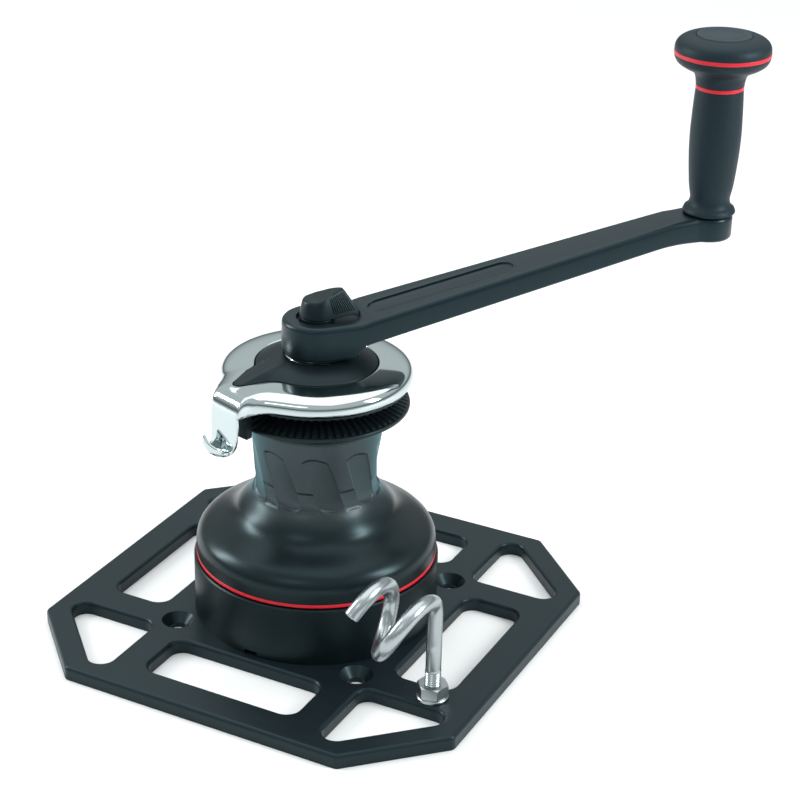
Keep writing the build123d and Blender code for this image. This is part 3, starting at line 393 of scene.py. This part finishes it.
skirt = [(72.0, 48.7), (72.0, 51.05), (76.5, 51.05), (DRUM_R, 51.35)]
bell = bezier((DRUM_R, 57.4), (DRUM_R, 72.5), (58.0, 71.5), (50.5, 82.2), 36)[:-1]
bell += bezier((50.5, 82.2), (45.5, 89.3), (39.0, 91.5), (39.0, 101.0), 40)[:-1]
bell += bezier((39.0, 101.0), (39.0, 117.0), (41.0, 126.0), (41.6, 141.0), 72)[:-1]
bell += bezier((41.6, 141.0), (42.1, 144.5), (43.8, 146.6), (46.5, 147.4), 10)
inside = [(35.0, 147.4), (35.0, 162.5), (27.0, 162.5), (27.0, 130), (33, 128), (33, 92), (27.0, 90),
          (27.0, 74.2), (35, 74.2), (35, 79), (43, 79.5), (50, 75.6), (60, 69.2), (64, 66.0), (64, 49.0),
          (67, 49.0), (67, 58), (70, 58), (70, 48.7)]
lathe("drum_shell", skirt + bell + inside, DRUM, "drum", ["drum"], segments=864,
      shift=drum_shift, sharp=42)
trim = rounded([(72.05, 48.65), (DRUM_R + 0.1, 48.65), (DRUM_R + 0.1, 50.95), (72.05, 50.95)], 0.5)
lathe("drum_trim_band", trim, RED, "drum", ["drum_trim_ring"], segments=256)

# ---------------------------------------------------------------- jaws

JAW_RIBS, RIB_STEPS, RIB_RISE, UPPER_RIB_TURN = 72, 12, 1.1, 0.02
RIB_START_R, RIB_FULL_R = 43.0, 44.5


def rib(angle):
    """Height of a rib's face about its mean, with soft flanks."""
    turn = (angle * JAW_RIBS / (2 * math.pi)) % 1.0
    return (ramp(0.25 - abs(turn - 0.5), -0.06, 0.06) - 0.45) * RIB_RISE


def lower_jaw_shift(angle, radius, height):
    """Ribs stand on the sloping face of the lower jaw."""
    if RIB_START_R < radius < 56.6 and height > 154.4:
        lift = ramp(radius, RIB_START_R, RIB_FULL_R) * ramp(56.6 - radius, 0, 1.0)
        return radius, height + rib(angle) * lift
    return radius, height


def upper_jaw_shift(angle, radius, height):
    """Ribs hang from the sloping face of the upper jaw."""
    if RIB_START_R < radius < 56.9 and height < 166.9:
        return radius, height - rib(angle + UPPER_RIB_TURN) * ramp(radius, RIB_START_R, RIB_FULL_R)
    return radius, height


def slope(start, end, count):
    """Evenly spaced points on a straight stretch."""
    return [tuple(a + (b - a) * i / count for a, b in zip(start, end)) for i in range(count + 1)]


lower_profile = [(35.06, 149.2), (46.6, 149.25), (47.4, 149.35)]
lower_profile += bezier((55.6, 151.1), (57.2, 151.5), (58.2, 151.7), (58.2, 152.9), 5)
lower_profile += bezier((58.2, 153.2), (58.2, 154.2), (57.6, 154.5), (56.6, 154.5), 5)
lower_profile += slope((56.2, 154.6), (42.0, 158.7), 14) + [(35.06, 158.8)]
lathe("rope_jaw_lower", lower_profile, JAW, "lower_jaw", ["lower_jaw"],
      segments=JAW_RIBS * RIB_STEPS, shift=lower_jaw_shift)
upper_profile = [(27.6, 162.5)] + slope((42.0, 162.6), (56.2, 166.5), 14)
upper_profile += bezier((56.8, 166.7), (57.8, 166.9), (57.8, 168.3), (56.8, 168.4), 5) + [(27.6, 168.4)]
lathe("rope_jaw_upper", upper_profile, JAW, "drum", ["upper_jaw"],
      segments=JAW_RIBS * RIB_STEPS, shift=upper_jaw_shift)


def jaw_spring_set():
    """The coil springs under the lower jaw, as a fixed copy of the CAD node that rides on the drum."""
    node = frame["nodes"]["jaw_springs"]
    springs = bpy.data.objects.new("jaw_spring_set", node.data.copy())
    springs.matrix_world = node.matrix_world.copy()
    bpy.context.scene.collection.objects.link(springs)
    finish_piece(springs, STEEL, 30)
    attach(springs, "drum")
    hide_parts("jaw_springs")
    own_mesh(springs)


jaw_spring_set()

# ---------------------------------------------------------------- top cover and stripper arm

COVER_R = 37.8
TAIL_ROOT, TAIL_ROOT_R = (-19.5, -36.0), 10.6
TAIL_TIP, TAIL_TIP_R = (-23.6, -51.3), 4.4
TAIL_BLEND = 9.0


def cover_distance(x, y):
    """Signed distance in plan to the teardrop outline of the cover."""
    disc = math.hypot(x, y) - COVER_R
    ax, ay = TAIL_TIP[0] - TAIL_ROOT[0], TAIL_TIP[1] - TAIL_ROOT[1]
    along = ((x - TAIL_ROOT[0]) * ax + (y - TAIL_ROOT[1]) * ay) / (ax * ax + ay * ay)
    along = min(1.0, max(0.0, along))
    width = TAIL_ROOT_R + (TAIL_TIP_R - TAIL_ROOT_R) * along
    tail = math.hypot(x - TAIL_ROOT[0] - ax * along, y - TAIL_ROOT[1] - ay * along) - width
    soft = max(TAIL_BLEND - abs(disc - tail), 0.0) / TAIL_BLEND
    return min(disc, tail) - soft * soft * TAIL_BLEND / 4


def cover_edge(angle, gap=0.0):
    """Radius of the cover's outline in a direction."""
    low, high = 20.0, 72.0
    for _ in range(40):
        middle = (low + high) / 2
        if cover_distance(middle * math.cos(angle), middle * math.sin(angle)) < gap:
            low = middle
        else:
            high = middle
    return low


def top_cover():
    """Domed cap with a tail whose crest runs to the feeder."""
    points = []
    columns, steps = 480, 22
    bore, top, rim, bottom = 20.5, 186.4, 180.6, 178.3
    dome_start, edge_round = bore + 0.4, 0.9
    for i in range(columns):
        angle = 2 * math.pi * i / columns
        edge = cover_edge(angle)
        section = [(bore, bottom), (bore, top - 0.3), (dome_start, top)]
        for k in range(1, steps):
            u = k / steps
            radius = dome_start + (edge - edge_round - dome_start) * u
            fall = 0.30 * u + 0.70 * u ** 2.2
            section.append((radius, top - (top - rim - 0.25) * fall))
        section += [(edge - edge_round, rim + 0.22), (edge - 0.3, rim - 0.05), (edge, rim - 0.6),
                    (edge, bottom)]
        points += [(r * math.cos(angle), r * math.sin(angle), z) for r, z in section]
    faces = grid_faces(columns, len(section))
    return new_piece("stripper_cover", points, faces, PLASTIC, "base", ["top_cover"])


top_cover()

ARM_LIP_Z, ARM_SHEET = 169.6, 2.0
# The sheet's bore, its height there, and the least radius at which its ledge under the cover may end.
BORE_R, BORE_Z, LEDGE_R = 33.2, 178.0, 34.0
FEEDER_DEGREES, TAB_FACE = -110.0, 74.6
# Directions between which the rim is the tab's flat face, and between which the tab hangs from it.
FACE_START, FACE_END = -116.9, -99.7
TAB_START, TAB_END = -119, -100
LOBE_LEFT = ((-47.2, -37.0), (-44.3, -41.5), (-41.9, -47.6), (-39.9, -54.0), (-38.2, -59.8), (-36.9, -63.8),
             (-35.7, -66.0), (-33.97, -67.03))
LOBE_RIGHT = ((-11.4, -75.0), (-9.2, -70.2), (-6.2, -66.0), (-2.2, -62.8), (3.0, -60.9), (8.4, -59.6),
              (12.0, -58.8))
# Feeder tab rows below the rim: for a few places across it, how far out and how high.
TAB_ROWS = (
    ((-11.6, 74.6, 165.5), (-5, 74.6, 165.5), (1, 74.6, 165.5), (7, 74.6, 165.2), (14.6, 74.6, 164.5)),
    ((-11.6, 74.6, 158.5), (-5, 74.6, 158.0), (1, 74.6, 157.5), (7, 74.6, 157.0), (13.3, 74.6, 157.5)),
    ((-11.6, 74.6, 151.0), (-5, 74.6, 150.5), (1, 74.6, 150.0), (7, 74.6, 150.0), (12.6, 74.6, 151.5)),
    ((-11.8, 74.8, 146.6), (-5.4, 74.7, 144.8), (0.6, 74.7, 144.6), (6.4, 74.7, 145.8), (11.6, 74.7, 148.4)),
    ((-12.0, 75.4, 144.3), (-5.9, 75.1, 141.9), (0.0, 75.0, 141.8), (5.4, 75.0, 143.4), (10.0, 75.1, 146.3)),
    ((-12.1, 76.5, 143.2), (-6.3, 76.5, 140.3), (-0.8, 76.2, 140.3), (4.2, 75.9, 141.9), (8.2, 75.9, 144.6)),
    ((-12.2, 77.8, 143.6), (-6.7, 78.3, 140.6), (-1.6, 77.8, 140.5), (2.9, 77.2, 141.6), (6.4, 76.9, 143.7)),
    ((-12.2, 78.8, 145.4), (-6.9, 79.5, 142.5), (-2.2, 78.9, 141.9), (1.9, 78.0, 142.5), (5.0, 77.5, 143.9)),
    ((-12.1, 79.2, 148.2), (-7.0, 79.9, 145.4), (-2.6, 79.2, 144.1), (1.1, 78.4, 143.9), (4.0, 77.8, 144.8)),
    ((-11.7, 78.8, 151.2), (-7.0, 79.8, 148.3), (-2.9, 79.1, 146.4), (0.6, 78.4, 145.6), (3.2, 77.9, 145.9)),
)


def by_angle(points):
    """A smooth plan curve as (angle, radius) pairs."""
    return [(math.degrees(math.atan2(y, x)), math.hypot(x, y)) for x, y in through(points, 6)]


LOBE_LEFT_CURVE, LOBE_RIGHT_CURVE = by_angle(LOBE_LEFT), by_angle(LOBE_RIGHT)


def rim_radius(degrees_):
    """Outer radius of the stripper arm, with the lobe that carries the feeder."""
    if FACE_START < degrees_ < FACE_END:
        return TAB_FACE / math.cos(math.radians(degrees_ - FEEDER_DEGREES))
    side = LOBE_LEFT_CURVE if degrees_ < FEEDER_DEGREES else LOBE_RIGHT_CURVE
    return blend_list(degrees_, side)


def stripper_arm():
    """Polished sheet: ledge, opening, dished top, rolled rim, and the feeder tab with its curled hook."""
    # Directions in degrees: each one round the feeder, and each fourth one elsewhere.
    columns = [-142 + k for k in range(55)] + [-84 + 4 * k for k in range(75)]
    tab_columns = [i for i, d in enumerate(columns) if TAB_START <= d <= TAB_END]
    points = []
    for d in columns:
        angle = math.radians(d)
        inner, outer = cover_edge(angle, 0.45), rim_radius(d)
        ledge = inner - 1.2 if inner - 1.2 >= LEDGE_R else LEDGE_R + 0.5
        start, shoulder = inner + 2.0, max(outer - 8.5, inner + 3.6)
        lip = ARM_LIP_Z - 2.6 * ramp(-d, 86, 100) * (d > -99.5)
        soft = ramp(d, -126, -117) * ramp(-d, 94, 101)
        section = [(BORE_R, BORE_Z), (ledge, BORE_Z), (inner - 0.1, 178.15),
                   (inner, 179.7), (inner + 0.7, 180.35), (start, 180.35), ((start + shoulder) / 2, 180.2),
                   (shoulder, 179.75), (outer - 3.6 - 2.6 * soft, 178.7 + 0.3 * soft),
                   (outer - 1.0 - 1.4 * soft, 176.6 + 0.4 * soft), (outer - 0.3 * soft, 173.4 - 1.2 * soft),
                   (outer, lip)]
        points += [(r * math.cos(angle), r * math.sin(angle), z) for r, z in section]
    rows = len(section)
    faces = grid_faces(len(columns), rows, closed=False)
    previous = {i: i * rows + rows - 1 for i in tab_columns}
    feeder = math.radians(FEEDER_DEGREES)
    out_x, out_y = math.cos(feeder), math.sin(feeder)
    first, last = columns[tab_columns[0]], columns[tab_columns[-1]]
    for row in TAB_ROWS:
        current = {}
        for i in tab_columns:
            share = 4 * (columns[i] - first) / (last - first)
            k = min(3, int(share))
            t, n, z = (a + (b - a) * (share - k) for a, b in zip(row[k], row[k + 1]))
            current[i] = len(points)
            points.append((out_x * n - out_y * t, out_y * n + out_x * t, z))
        for i, k in zip(tab_columns, tab_columns[1:]):
            faces.append((previous[i], previous[k], current[k], current[i]))
        previous = current
    arm = new_piece("stripper_plate", points, faces, CHROME, "base", ["stripper_arm"],
                    sharp=180)
    thick = arm.modifiers.new("thick", "SOLIDIFY")
    thick.thickness = ARM_SHEET * MM
    thick.offset = -1
    thick.use_even_offset = False
    smooth = arm.modifiers.new("smooth", "SUBSURF")
    smooth.levels = smooth.render_levels = 2
    applied(arm)
    finish_piece(arm, CHROME, 180)
    return arm


stripper_arm()

# ---------------------------------------------------------------- handle

ARM_DIR = Vector((math.cos(HANDLE_ANGLE), math.sin(HANDLE_ANGLE), 0))
ARM_SIDE = Vector((-math.sin(HANDLE_ANGLE), math.cos(HANDLE_ANGLE), 0))
HUB_R, BOSS_R, ARM_END_HALF = 21.8, 15.2, 13.0
HUB_BOTTOM, HUB_TOP, BOSS_BOTTOM, BOSS_TOP = 187.6, 210.0, 239.9, 255.8
# The arm's straight top face and underside: a place along the arm, the height there, and the slope.
TOP_S, TOP_Z, TOP_SLOPE = 57, 217.6, 0.2158
LOW_S, LOW_Z, LOW_SLOPE = 25, 195.3, 0.2219
TOP_ROUND, LOW_ROUND, EDGE_ROUND = 3.2, 2.2, 0.5
KNOB_POCKET_R, KNOB_POCKET_DEPTH = 13.0, 3.0
PANEL_START, PANEL_END, PANEL_R, PANEL_DEPTH = 40.0, 117.0, 8.0, 1.2
CUTTER_SIDES, CUTTER_HEIGHT = 48, 12


def arm_half_width(s):
    """Half the arm's width in plan: round hub, tapering arm, round boss."""
    if s <= 0:
        return math.sqrt(max(0.0, HUB_R ** 2 - s ** 2))
    boss = math.sqrt(max(0.0, BOSS_R ** 2 - (s - HANDLE_LENGTH) ** 2))
    taper = HUB_R + (ARM_END_HALF - HUB_R) * s / (HANDLE_LENGTH - 16)
    if s > HANDLE_LENGTH:
        return boss
    return max(taper, boss) if boss else taper


def sloped_top(s):
    """Height of the straight top face before it meets the hub and the boss."""
    return TOP_Z + (s - TOP_S) * TOP_SLOPE


def arm_top(s):
    """Height of the arm's top face along its length."""
    sloped = sloped_top(s)
    if s < 40:
        return HUB_TOP + (sloped - HUB_TOP) * ramp(s, 21, 31) if s > 21 else HUB_TOP
    return min(sloped, BOSS_TOP) - 0.8 * ramp(abs(s - 234), 8, 0)


def arm_bottom(s):
    """Height of the arm's underside along its length."""
    sloped = LOW_Z + (s - LOW_S) * LOW_SLOPE
    if s < 30:
        return HUB_BOTTOM + (sloped - HUB_BOTTOM) * ramp(s, 17.5, 27)
    return min(sloped, BOSS_BOTTOM) - 0.5 * ramp(abs(s - 226), 8, 0)


def quarter_round(radius, steps):
    """How far in and how far down a rounded edge goes, from its side to its face."""
    turns = [math.pi / 2 * k / steps for k in range(steps + 1)]
    return [(radius * (1 - math.sin(a)), radius * (1 - math.cos(a))) for a in turns]


def arm_stations():
    """Places along the arm, close together round the hub and boss."""
    hub = [-HUB_R * math.cos(math.pi / 2 * k / 14) for k in range(15)]
    middle = [2 + 3 * k for k in range(12)] + [39 + 7 * k for k in range(29)]
    boss_start = HANDLE_LENGTH - 13
    boss = [boss_start + 4 * k for k in range(4)]
    boss += [HANDLE_LENGTH + BOSS_R * math.sin(math.pi / 2 * k / 12) for k in range(1, 13)]
    return sorted(set(round(s, 3) for s in hub + [m for m in middle if m < boss_start - 3] + boss))


def shrink(half_width, s, inset):
    """Half width of the plan outline after moving it inwards."""
    if s < 0 or s > HANDLE_LENGTH:
        radius = HUB_R if s < 0 else BOSS_R
        return half_width * (radius - inset) / radius
    return half_width - inset


def shrink_s(s, inset):
    """Place along the arm after moving the outline inwards."""
    if s < 0:
        return s * (HUB_R - inset) / HUB_R
    if s > HANDLE_LENGTH:
        return HANDLE_LENGTH + (s - HANDLE_LENGTH) * (BOSS_R - inset) / BOSS_R
    return s


def arm_point(s, side, height):
    """Point in the row frame from the arm's own directions."""
    place = ARM_DIR * s + ARM_SIDE * side
    return (place.x, place.y, height)


def handle_arm():
    """Forged arm with rounded edges, a recess for the lock knob and a plain slot along the top."""
    stations = arm_stations()
    layers = [("low", inset, drop) for inset, drop in quarter_round(LOW_ROUND, 4)]
    layers += [("top", inset, drop) for inset, drop in reversed(quarter_round(TOP_ROUND, 6))]
    points, faces = [], []
    n = len(stations)
    ring = 2 * n - 2
    order = list(range(n)) + list(range(n - 2, 0, -1))
    for where, inset, drop in layers:
        for position, i in enumerate(order):
            s = stations[i]
            sign = 1 if position < n else -1
            side = sign * max(0.0, shrink(arm_half_width(s), s, inset))
            height = arm_bottom(s) + drop if where == "low" else arm_top(s) - drop
            points.append(arm_point(shrink_s(s, inset), side, height))
    for layer in range(len(layers) - 1):
        faces += loop_faces(layer, ring)
    for layer in (0, len(layers) - 1):
        faces += mirrored_lid(layer * ring, ring, n - 1)
    arm = new_piece("crank_arm", points, faces, ARM, "handle", ["handle_arm"], sharp=40)
    cut_outline(arm, 0, 14, KNOB_POCKET_R, HUB_TOP - KNOB_POCKET_DEPTH, 0.0)
    cut_outline(arm, PANEL_START, PANEL_END, PANEL_R, sloped_top(PANEL_START) - PANEL_DEPTH, TOP_SLOPE)
    bevel = arm.modifiers.new("edges", "BEVEL")
    bevel.width = EDGE_ROUND * MM
    bevel.segments = 2
    bevel.limit_method = "ANGLE"
    bevel.angle_limit = math.radians(45)
    applied(arm)
    finish_piece(arm, ARM, 40)
    return arm


def cut_outline(piece, start, end, radius, bottom, slope_up):
    """Cuts a round-ended pocket into a piece, with its floor rising along the arm."""
    tool = bmesh.new()
    loop = []
    for k in range(CUTTER_SIDES):
        turn = 2 * math.pi * k / CUTTER_SIDES
        centre = end if math.cos(turn) > 0 else start
        loop.append((centre + radius * math.cos(turn), radius * math.sin(turn)))
    for lift in (0, CUTTER_HEIGHT):
        for s, side in loop:
            rise = (s - start) * slope_up
            tool.verts.new([c * MM for c in arm_point(s, side, bottom + rise + lift)])
    tool.verts.ensure_lookup_table()
    tool.faces.new([tool.verts[i] for i in reversed(range(CUTTER_SIDES))])
    tool.faces.new([tool.verts[CUTTER_SIDES + i] for i in range(CUTTER_SIDES)])
    for corners in loop_faces(0, CUTTER_SIDES):
        tool.faces.new([tool.verts[i] for i in corners])
    bmesh.ops.recalc_face_normals(tool, faces=tool.faces)
    mesh = bpy.data.meshes.new("cutter")
    tool.to_mesh(mesh)
    tool.free()
    cutter = bpy.data.objects.new("cutter", mesh)
    bpy.context.scene.collection.objects.link(cutter)
    cut = piece.modifiers.new("cut", "BOOLEAN")
    cut.operation = "DIFFERENCE"
    cut.solver = "EXACT"
    cut.object = cutter
    bpy.context.view_layer.update()
    applied(piece)
    bpy.data.objects.remove(cutter)


handle_arm()

# ---------------------------------------------------------------- lock knob

KNOB_SIDES = 64
# Outlines from the foot up: back radius, reach and half width of the front, height and rise to the front.
KNOB_LAYERS = (
    (10.6, 24.6, 3.6, 210.7, 0.0),
    (11.0, 26.0, 3.8, 211.3, 0.0),
    (10.7, 25.6, 3.4, 213.0, 0.0),
    (9.2, 17.2, 1.6, 220.6, 5.0),
    (8.4, 16.2, 1.2, 221.7, 5.1),
    (7.4, 15.2, 0.8, 222.0, 5.2),
)
# The round back ends where the cosine of its turn passes this, and its half width there.
BACK_END, BACK_END_WIDTH = 0.25, 0.968


def front_rise(s):
    """Share of the knob's rise that is reached along the arm."""
    return ramp(s, -4, 15)


def knob_outline(radius, tip_s, tip_r, height, rise):
    """One closed loop round the knob: a round back and a narrow front."""
    loop = []
    for k in range(KNOB_SIDES):
        turn = 2 * math.pi * k / KNOB_SIDES
        c, s = math.cos(turn), math.sin(turn)
        if c <= BACK_END:
            along, side = radius * c, radius * s
        else:
            share = ((c - BACK_END) / (1 - BACK_END)) ** 0.75
            along = radius * BACK_END + (tip_s - radius * BACK_END) * share
            side = math.copysign(1, s) * (tip_r + (radius * BACK_END_WIDTH - tip_r) * (1 - share))
            side *= min(1.0, abs(s) * 6)
        loop.append(arm_point(along, side, height + rise * front_rise(along)))
    return loop


def lock_knob():
    """Round-backed knob whose front narrows to a steep edge."""
    points, faces = [], []
    for layer in KNOB_LAYERS:
        points += knob_outline(*layer)
    top = len(KNOB_LAYERS) - 1
    for layer in range(top):
        faces += loop_faces(layer, KNOB_SIDES)
    for layer in (0, top):
        faces += mirrored_lid(layer * KNOB_SIDES, KNOB_SIDES, KNOB_SIDES // 2)
    return new_piece("lock_handle", points, faces, PLASTIC, "lock", ["lock_knob"], sharp=38)


lock_knob()
lathe("lock_collar", rounded([(3.6, 207.6), (10.9, 207.6), (10.9, 210.7), (3.6, 210.7)], 0.5), PLASTIC,
      "lock")


FLANK_RIBS, FIRST_RIB, RIB_PITCH = 10, 0.28, 0.068
FLANK_RIB_WIDTH, FLANK_RIB_DEPTH = 0.45, 0.5


def knob_ribs():
    """Fine upright ribs on both flanks of the lock knob's front half."""
    points, faces = [], []
    for sign in (-1, 1):
        for k in range(FLANK_RIBS):
            # Each rib joins the flank's edge at its foot to the edge at its head.
            share = FIRST_RIB + RIB_PITCH * k
            low_s, high_s = 2.7 + 22.9 * share, 2.3 + 14.9 * share
            low_side = 3.4 + 6.96 * (1 - share)
            high_side = 1.6 + 7.3 * (1 - share)
            foot_s, foot_side = low_s * 0.92 + high_s * 0.08, low_side * 0.92 + high_side * 0.08
            low = Vector(arm_point(foot_s, sign * foot_side, 213.8))
            high = Vector(arm_point(high_s, sign * high_side, 220.4 + 5.0 * front_rise(high_s)))
            out = ARM_SIDE * sign * FLANK_RIB_DEPTH
            wide = ARM_DIR * FLANK_RIB_WIDTH
            start = len(points)
            for end in (low, high):
                points += [tuple(end - wide - out), tuple(end + wide - out), tuple(end + out)]
            faces += [(start, start + 1, start + 2), (start + 3, start + 5, start + 4),
                      (start, start + 3, start + 4, start + 1), (start + 1, start + 4, start + 5, start + 2),
                      (start + 2, start + 5, start + 3, start)]
    return new_piece("lock_ribs", points, faces, PLASTIC, "lock", sharp=30)


knob_ribs()

# ---------------------------------------------------------------- grip and palm knob


def grip_lathe(name, profile, material, nodes):
    """Turned piece on the grip's axis."""
    return lathe(name, profile, material, "grip", nodes, centre=GRIP_AXIS, segments=128)


sleeve = [(9.5, 336.0), (9.5, 256.4)] + rounded([(14.5, 256.4), (16.5, 256.4), (16.4, 258.6)], 1.0)[5:10]
sleeve += through([(16.1, 258.9), (13.3, 261.6), (12.4, 265.5), (13.2, 270.5), (13.9, 275.0), (14.9, 286.0),
                   (15.6, 297.0), (15.8, 308.0), (15.5, 319.0), (15.0, 330.3), (14.6, 336.0)], 6)[1:]
grip_lathe("grip_handle", sleeve, RUBBER, ["grip_sleeve"])
grip_lathe("grip_neck_band", rounded([(9.5, 336.05), (14.75, 336.05), (14.75, 338.35), (9.5, 338.35)], 0.4),
           RED, ["neck_ring"])
lower_knob = [(0, 352.0), (9.5, 352.0), (9.5, 338.4), (14.4, 338.4)]
lower_knob += through([(14.8, 338.7), (15.2, 341.6), (16.2, 345.0), (19.0, 347.6), (23.4, 349.8),
                       (27.2, 352.4), (28.9, 355.3), (29.25, 357.3)], 6)
lower_knob += [(0, 357.3)]
grip_lathe("palm_knob_base", lower_knob, RUBBER, ["palm_knob_lower"])
grip_lathe("palm_knob_band", rounded([(20.0, 357.3), (29.45, 357.3), (29.45, 359.7), (20.0, 359.7)], 0.4),
           RED, ["knob_ring"])
upper_knob = [(0, 359.7), (29.2, 359.7)]
upper_knob += bezier((29.25, 360.2), (29.5, 365.1), (25.9, 368.1), (17.9, 369.05), 20)
upper_knob += [(17.3, 369.1), (17.1, 368.8), (17.1, 367.6), (0, 367.6)]
grip_lathe("palm_knob_crown", upper_knob, RUBBER, ["palm_knob_upper"])
cap = [(0, 367.6), (16.9, 367.6), (16.9, 369.1), (16.5, 369.55), (13.4, 369.9), (13.0, 369.7), (12.4, 369.7),
       (12.0, 369.95), (0, 370.0)]
grip_lathe("palm_knob_cap", cap, CAP, ["knob_cap"])

# ---------------------------------------------------------------- pigtail guide

ROD_R = 4.75
LOOP_RISE, LOOP_SIDE = 18.3, 20.2
LOOP_PITCH, LOOP_CLIMB, LOOP_SKEW = 27.7, 5.9, -6.0
LOOP_HEIGHT, LOOP_HEADING, LEG_TOP = 63.8, math.radians(187.1), 50.0
THREAD_TOP, THREAD_PITCH, THREAD_DEPTH, THREAD_RISE = 28.0, 1.5, 0.6, 0.2
THREAD_START = 1.0


def guide_point(degrees_):
    """Centre of the bent rod; 180 degrees is where the leg meets the loop."""
    turn = math.radians(degrees_)
    done = (math.pi - turn) / (2 * math.pi)
    along = LOOP_PITCH * done + LOOP_SKEW * math.sin(turn)
    side = LOOP_SIDE * (math.cos(turn) + 1)
    ax, ay = math.cos(LOOP_HEADING), math.sin(LOOP_HEADING)
    return (GUIDE_AXIS[0] + ax * along - ay * side, GUIDE_AXIS[1] + ay * along + ax * side,
            LOOP_HEIGHT + LOOP_RISE * math.sin(turn) + LOOP_CLIMB * done)


def tube(name, path, radii, material, body, nodes, around=40):
    """Round bar along a path, with its own radius at each point and closed flat ends."""
    path = [Vector(p) for p in path]
    points, faces = [], []
    side = Vector((1, 0, 0))
    for i, centre in enumerate(path):
        ahead = (path[min(i + 1, len(path) - 1)] - path[max(i - 1, 0)]).normalized()
        side = (side - ahead * side.dot(ahead)).normalized()
        other = ahead.cross(side)
        for k in range(around):
            turn = 2 * math.pi * k / around
            points.append(tuple(centre + (side * math.cos(turn) + other * math.sin(turn)) * radii[i]))
    for i in range(len(path) - 1):
        faces += loop_faces(i, around)
    last = (len(path) - 1) * around
    faces.append(tuple(range(around - 1, -1, -1)))
    faces.append(tuple(last + k for k in range(around)))
    return new_piece(name, points, faces, material, body, nodes, sharp=50)


def pigtail():
    """Polished rod: threaded foot, upright leg and about one and a third open turns."""
    path, radii = [], []
    steps = int((THREAD_TOP - THREAD_START) / (THREAD_PITCH / 4))
    for k in range(steps + 1):
        height = THREAD_START + k * THREAD_PITCH / 4
        crest = ROD_R + THREAD_RISE if height > NUT_TOP else ROD_R
        path.append((*GUIDE_AXIS, height))
        radii.append(crest - (THREAD_DEPTH if k % 4 == 2 else (THREAD_DEPTH / 2 if k % 2 else 0)))
    path.append((*GUIDE_AXIS, THREAD_TOP + 0.6))
    radii.append(ROD_R)
    controls = [(*GUIDE_AXIS, 30.0), (*GUIDE_AXIS, 42.0), (*GUIDE_AXIS, LEG_TOP)]
    controls += [guide_point(150 - 30.75 * k) for k in range(17)]
    bend = through(controls, 10)
    path += bend
    radii += [ROD_R] * len(bend)
    end, before = Vector(path[-1]), Vector(path[-3])
    forward = (end - before).normalized()
    path[-1] = tuple(end - forward * 0.9)
    for step, radius in ((0.9, ROD_R - 0.15), (0.35, ROD_R - 0.45), (0.0, ROD_R - 0.95)):
        path.append(tuple(end - forward * step * 0.6))
        radii.append(radius)
    return tube("pigtail_rod", path, radii, STAINLESS, "base", ["pigtail_guide"])


pigtail()

# ---------------------------------------------------------------- floor, light and camera

FLOOR_REACH, FLOOR_Z = 30, -0.0002

floor_mesh = bpy.data.meshes.new("floor")
corners = [(x * FLOOR_REACH, y * FLOOR_REACH, FLOOR_Z) for x, y in ((-1, -1), (1, -1), (1, 1), (-1, 1))]
floor_mesh.from_pydata(corners, [], [(0, 1, 2, 3)])
floor = bpy.data.objects.new("floor", floor_mesh)
bpy.context.scene.collection.objects.link(floor)
floor_mesh.materials.append(surface("floor_paper", (0.86, 0.86, 0.86), 0.85, spots=0.004, spot_size=3))


def softbox(name, place, aim, width, height, power):
    """Rectangular studio light that faces a point."""
    light = bpy.data.lights.new(name, "AREA")
    light.shape = "RECTANGLE"
    light.size, light.size_y, light.energy = width, height, power
    lamp = bpy.data.objects.new(name, light)
    lamp.location = place
    lamp.rotation_mode = "QUATERNION"
    lamp.rotation_quaternion = (Vector(aim) - Vector(place)).to_track_quat("-Z", "Y")
    bpy.context.scene.collection.objects.link(lamp)


softbox("overhead", (-0.5, 0.9, 3.0), (-0.5, 0.9, 0.0), 3.8, 3.8, 58)
softbox("left_box", (-1.15, -0.30, 0.70), (0, 0, 0.12), 0.26, 0.6, 10.0)
softbox("right_box", (1.15, 0.20, 0.75), (0, 0, 0.12), 0.26, 0.6, 10.0)
softbox("front_box", (0.1, -1.5, 1.3), (0, 0, 0.1), 0.7, 0.3, 2)
bpy.context.scene.view_settings.view_transform = "Standard"


def studio_world():
    """Pale dome overhead that darkens towards the horizon, so that polished metal has contrast."""
    world = bpy.data.worlds.new("studio")
    world.use_nodes = True
    tree = world.node_tree
    height = smooth_band(tree, "Generated", 0.02, 0.42)
    tone = colour_mix(tree, height, (0.15, 0.18, 0.19), (0.70, 0.75, 0.76))
    tree.links.new(tone.outputs["Result"], tree.nodes["Background"].inputs["Color"])
    tree.nodes["Background"].inputs["Strength"].default_value = 1.0
    bpy.context.scene.world = world


studio_world()

CAMERA_AZIMUTH, CAMERA_ELEVATION = math.radians(29.11), math.radians(25.44)
CAMERA_ROLL = math.radians(0.26)
CAMERA_PLACE = (0.5630, -1.0069, 0.7021)
back = Vector((math.sin(CAMERA_AZIMUTH) * math.cos(CAMERA_ELEVATION),
               -math.cos(CAMERA_AZIMUTH) * math.cos(CAMERA_ELEVATION), math.sin(CAMERA_ELEVATION)))
right = Vector((math.cos(CAMERA_AZIMUTH), math.sin(CAMERA_AZIMUTH), 0))
up = back.cross(right)
right, up = (right * math.cos(CAMERA_ROLL) + up * math.sin(CAMERA_ROLL),
             up * math.cos(CAMERA_ROLL) - right * math.sin(CAMERA_ROLL))
camera_data = bpy.data.cameras.new("camera")
camera_data.sensor_width = 36
camera_data.lens = 92.34
camera_data.shift_x = 0.1
camera_data.clip_start, camera_data.clip_end = 0.05, 50
camera = bpy.data.objects.new("camera", camera_data)
camera.matrix_world = Matrix((right, up, back)).transposed().to_4x4()
camera.location = CAMERA_PLACE
bpy.context.scene.collection.objects.link(camera)
bpy.context.scene.camera = camera
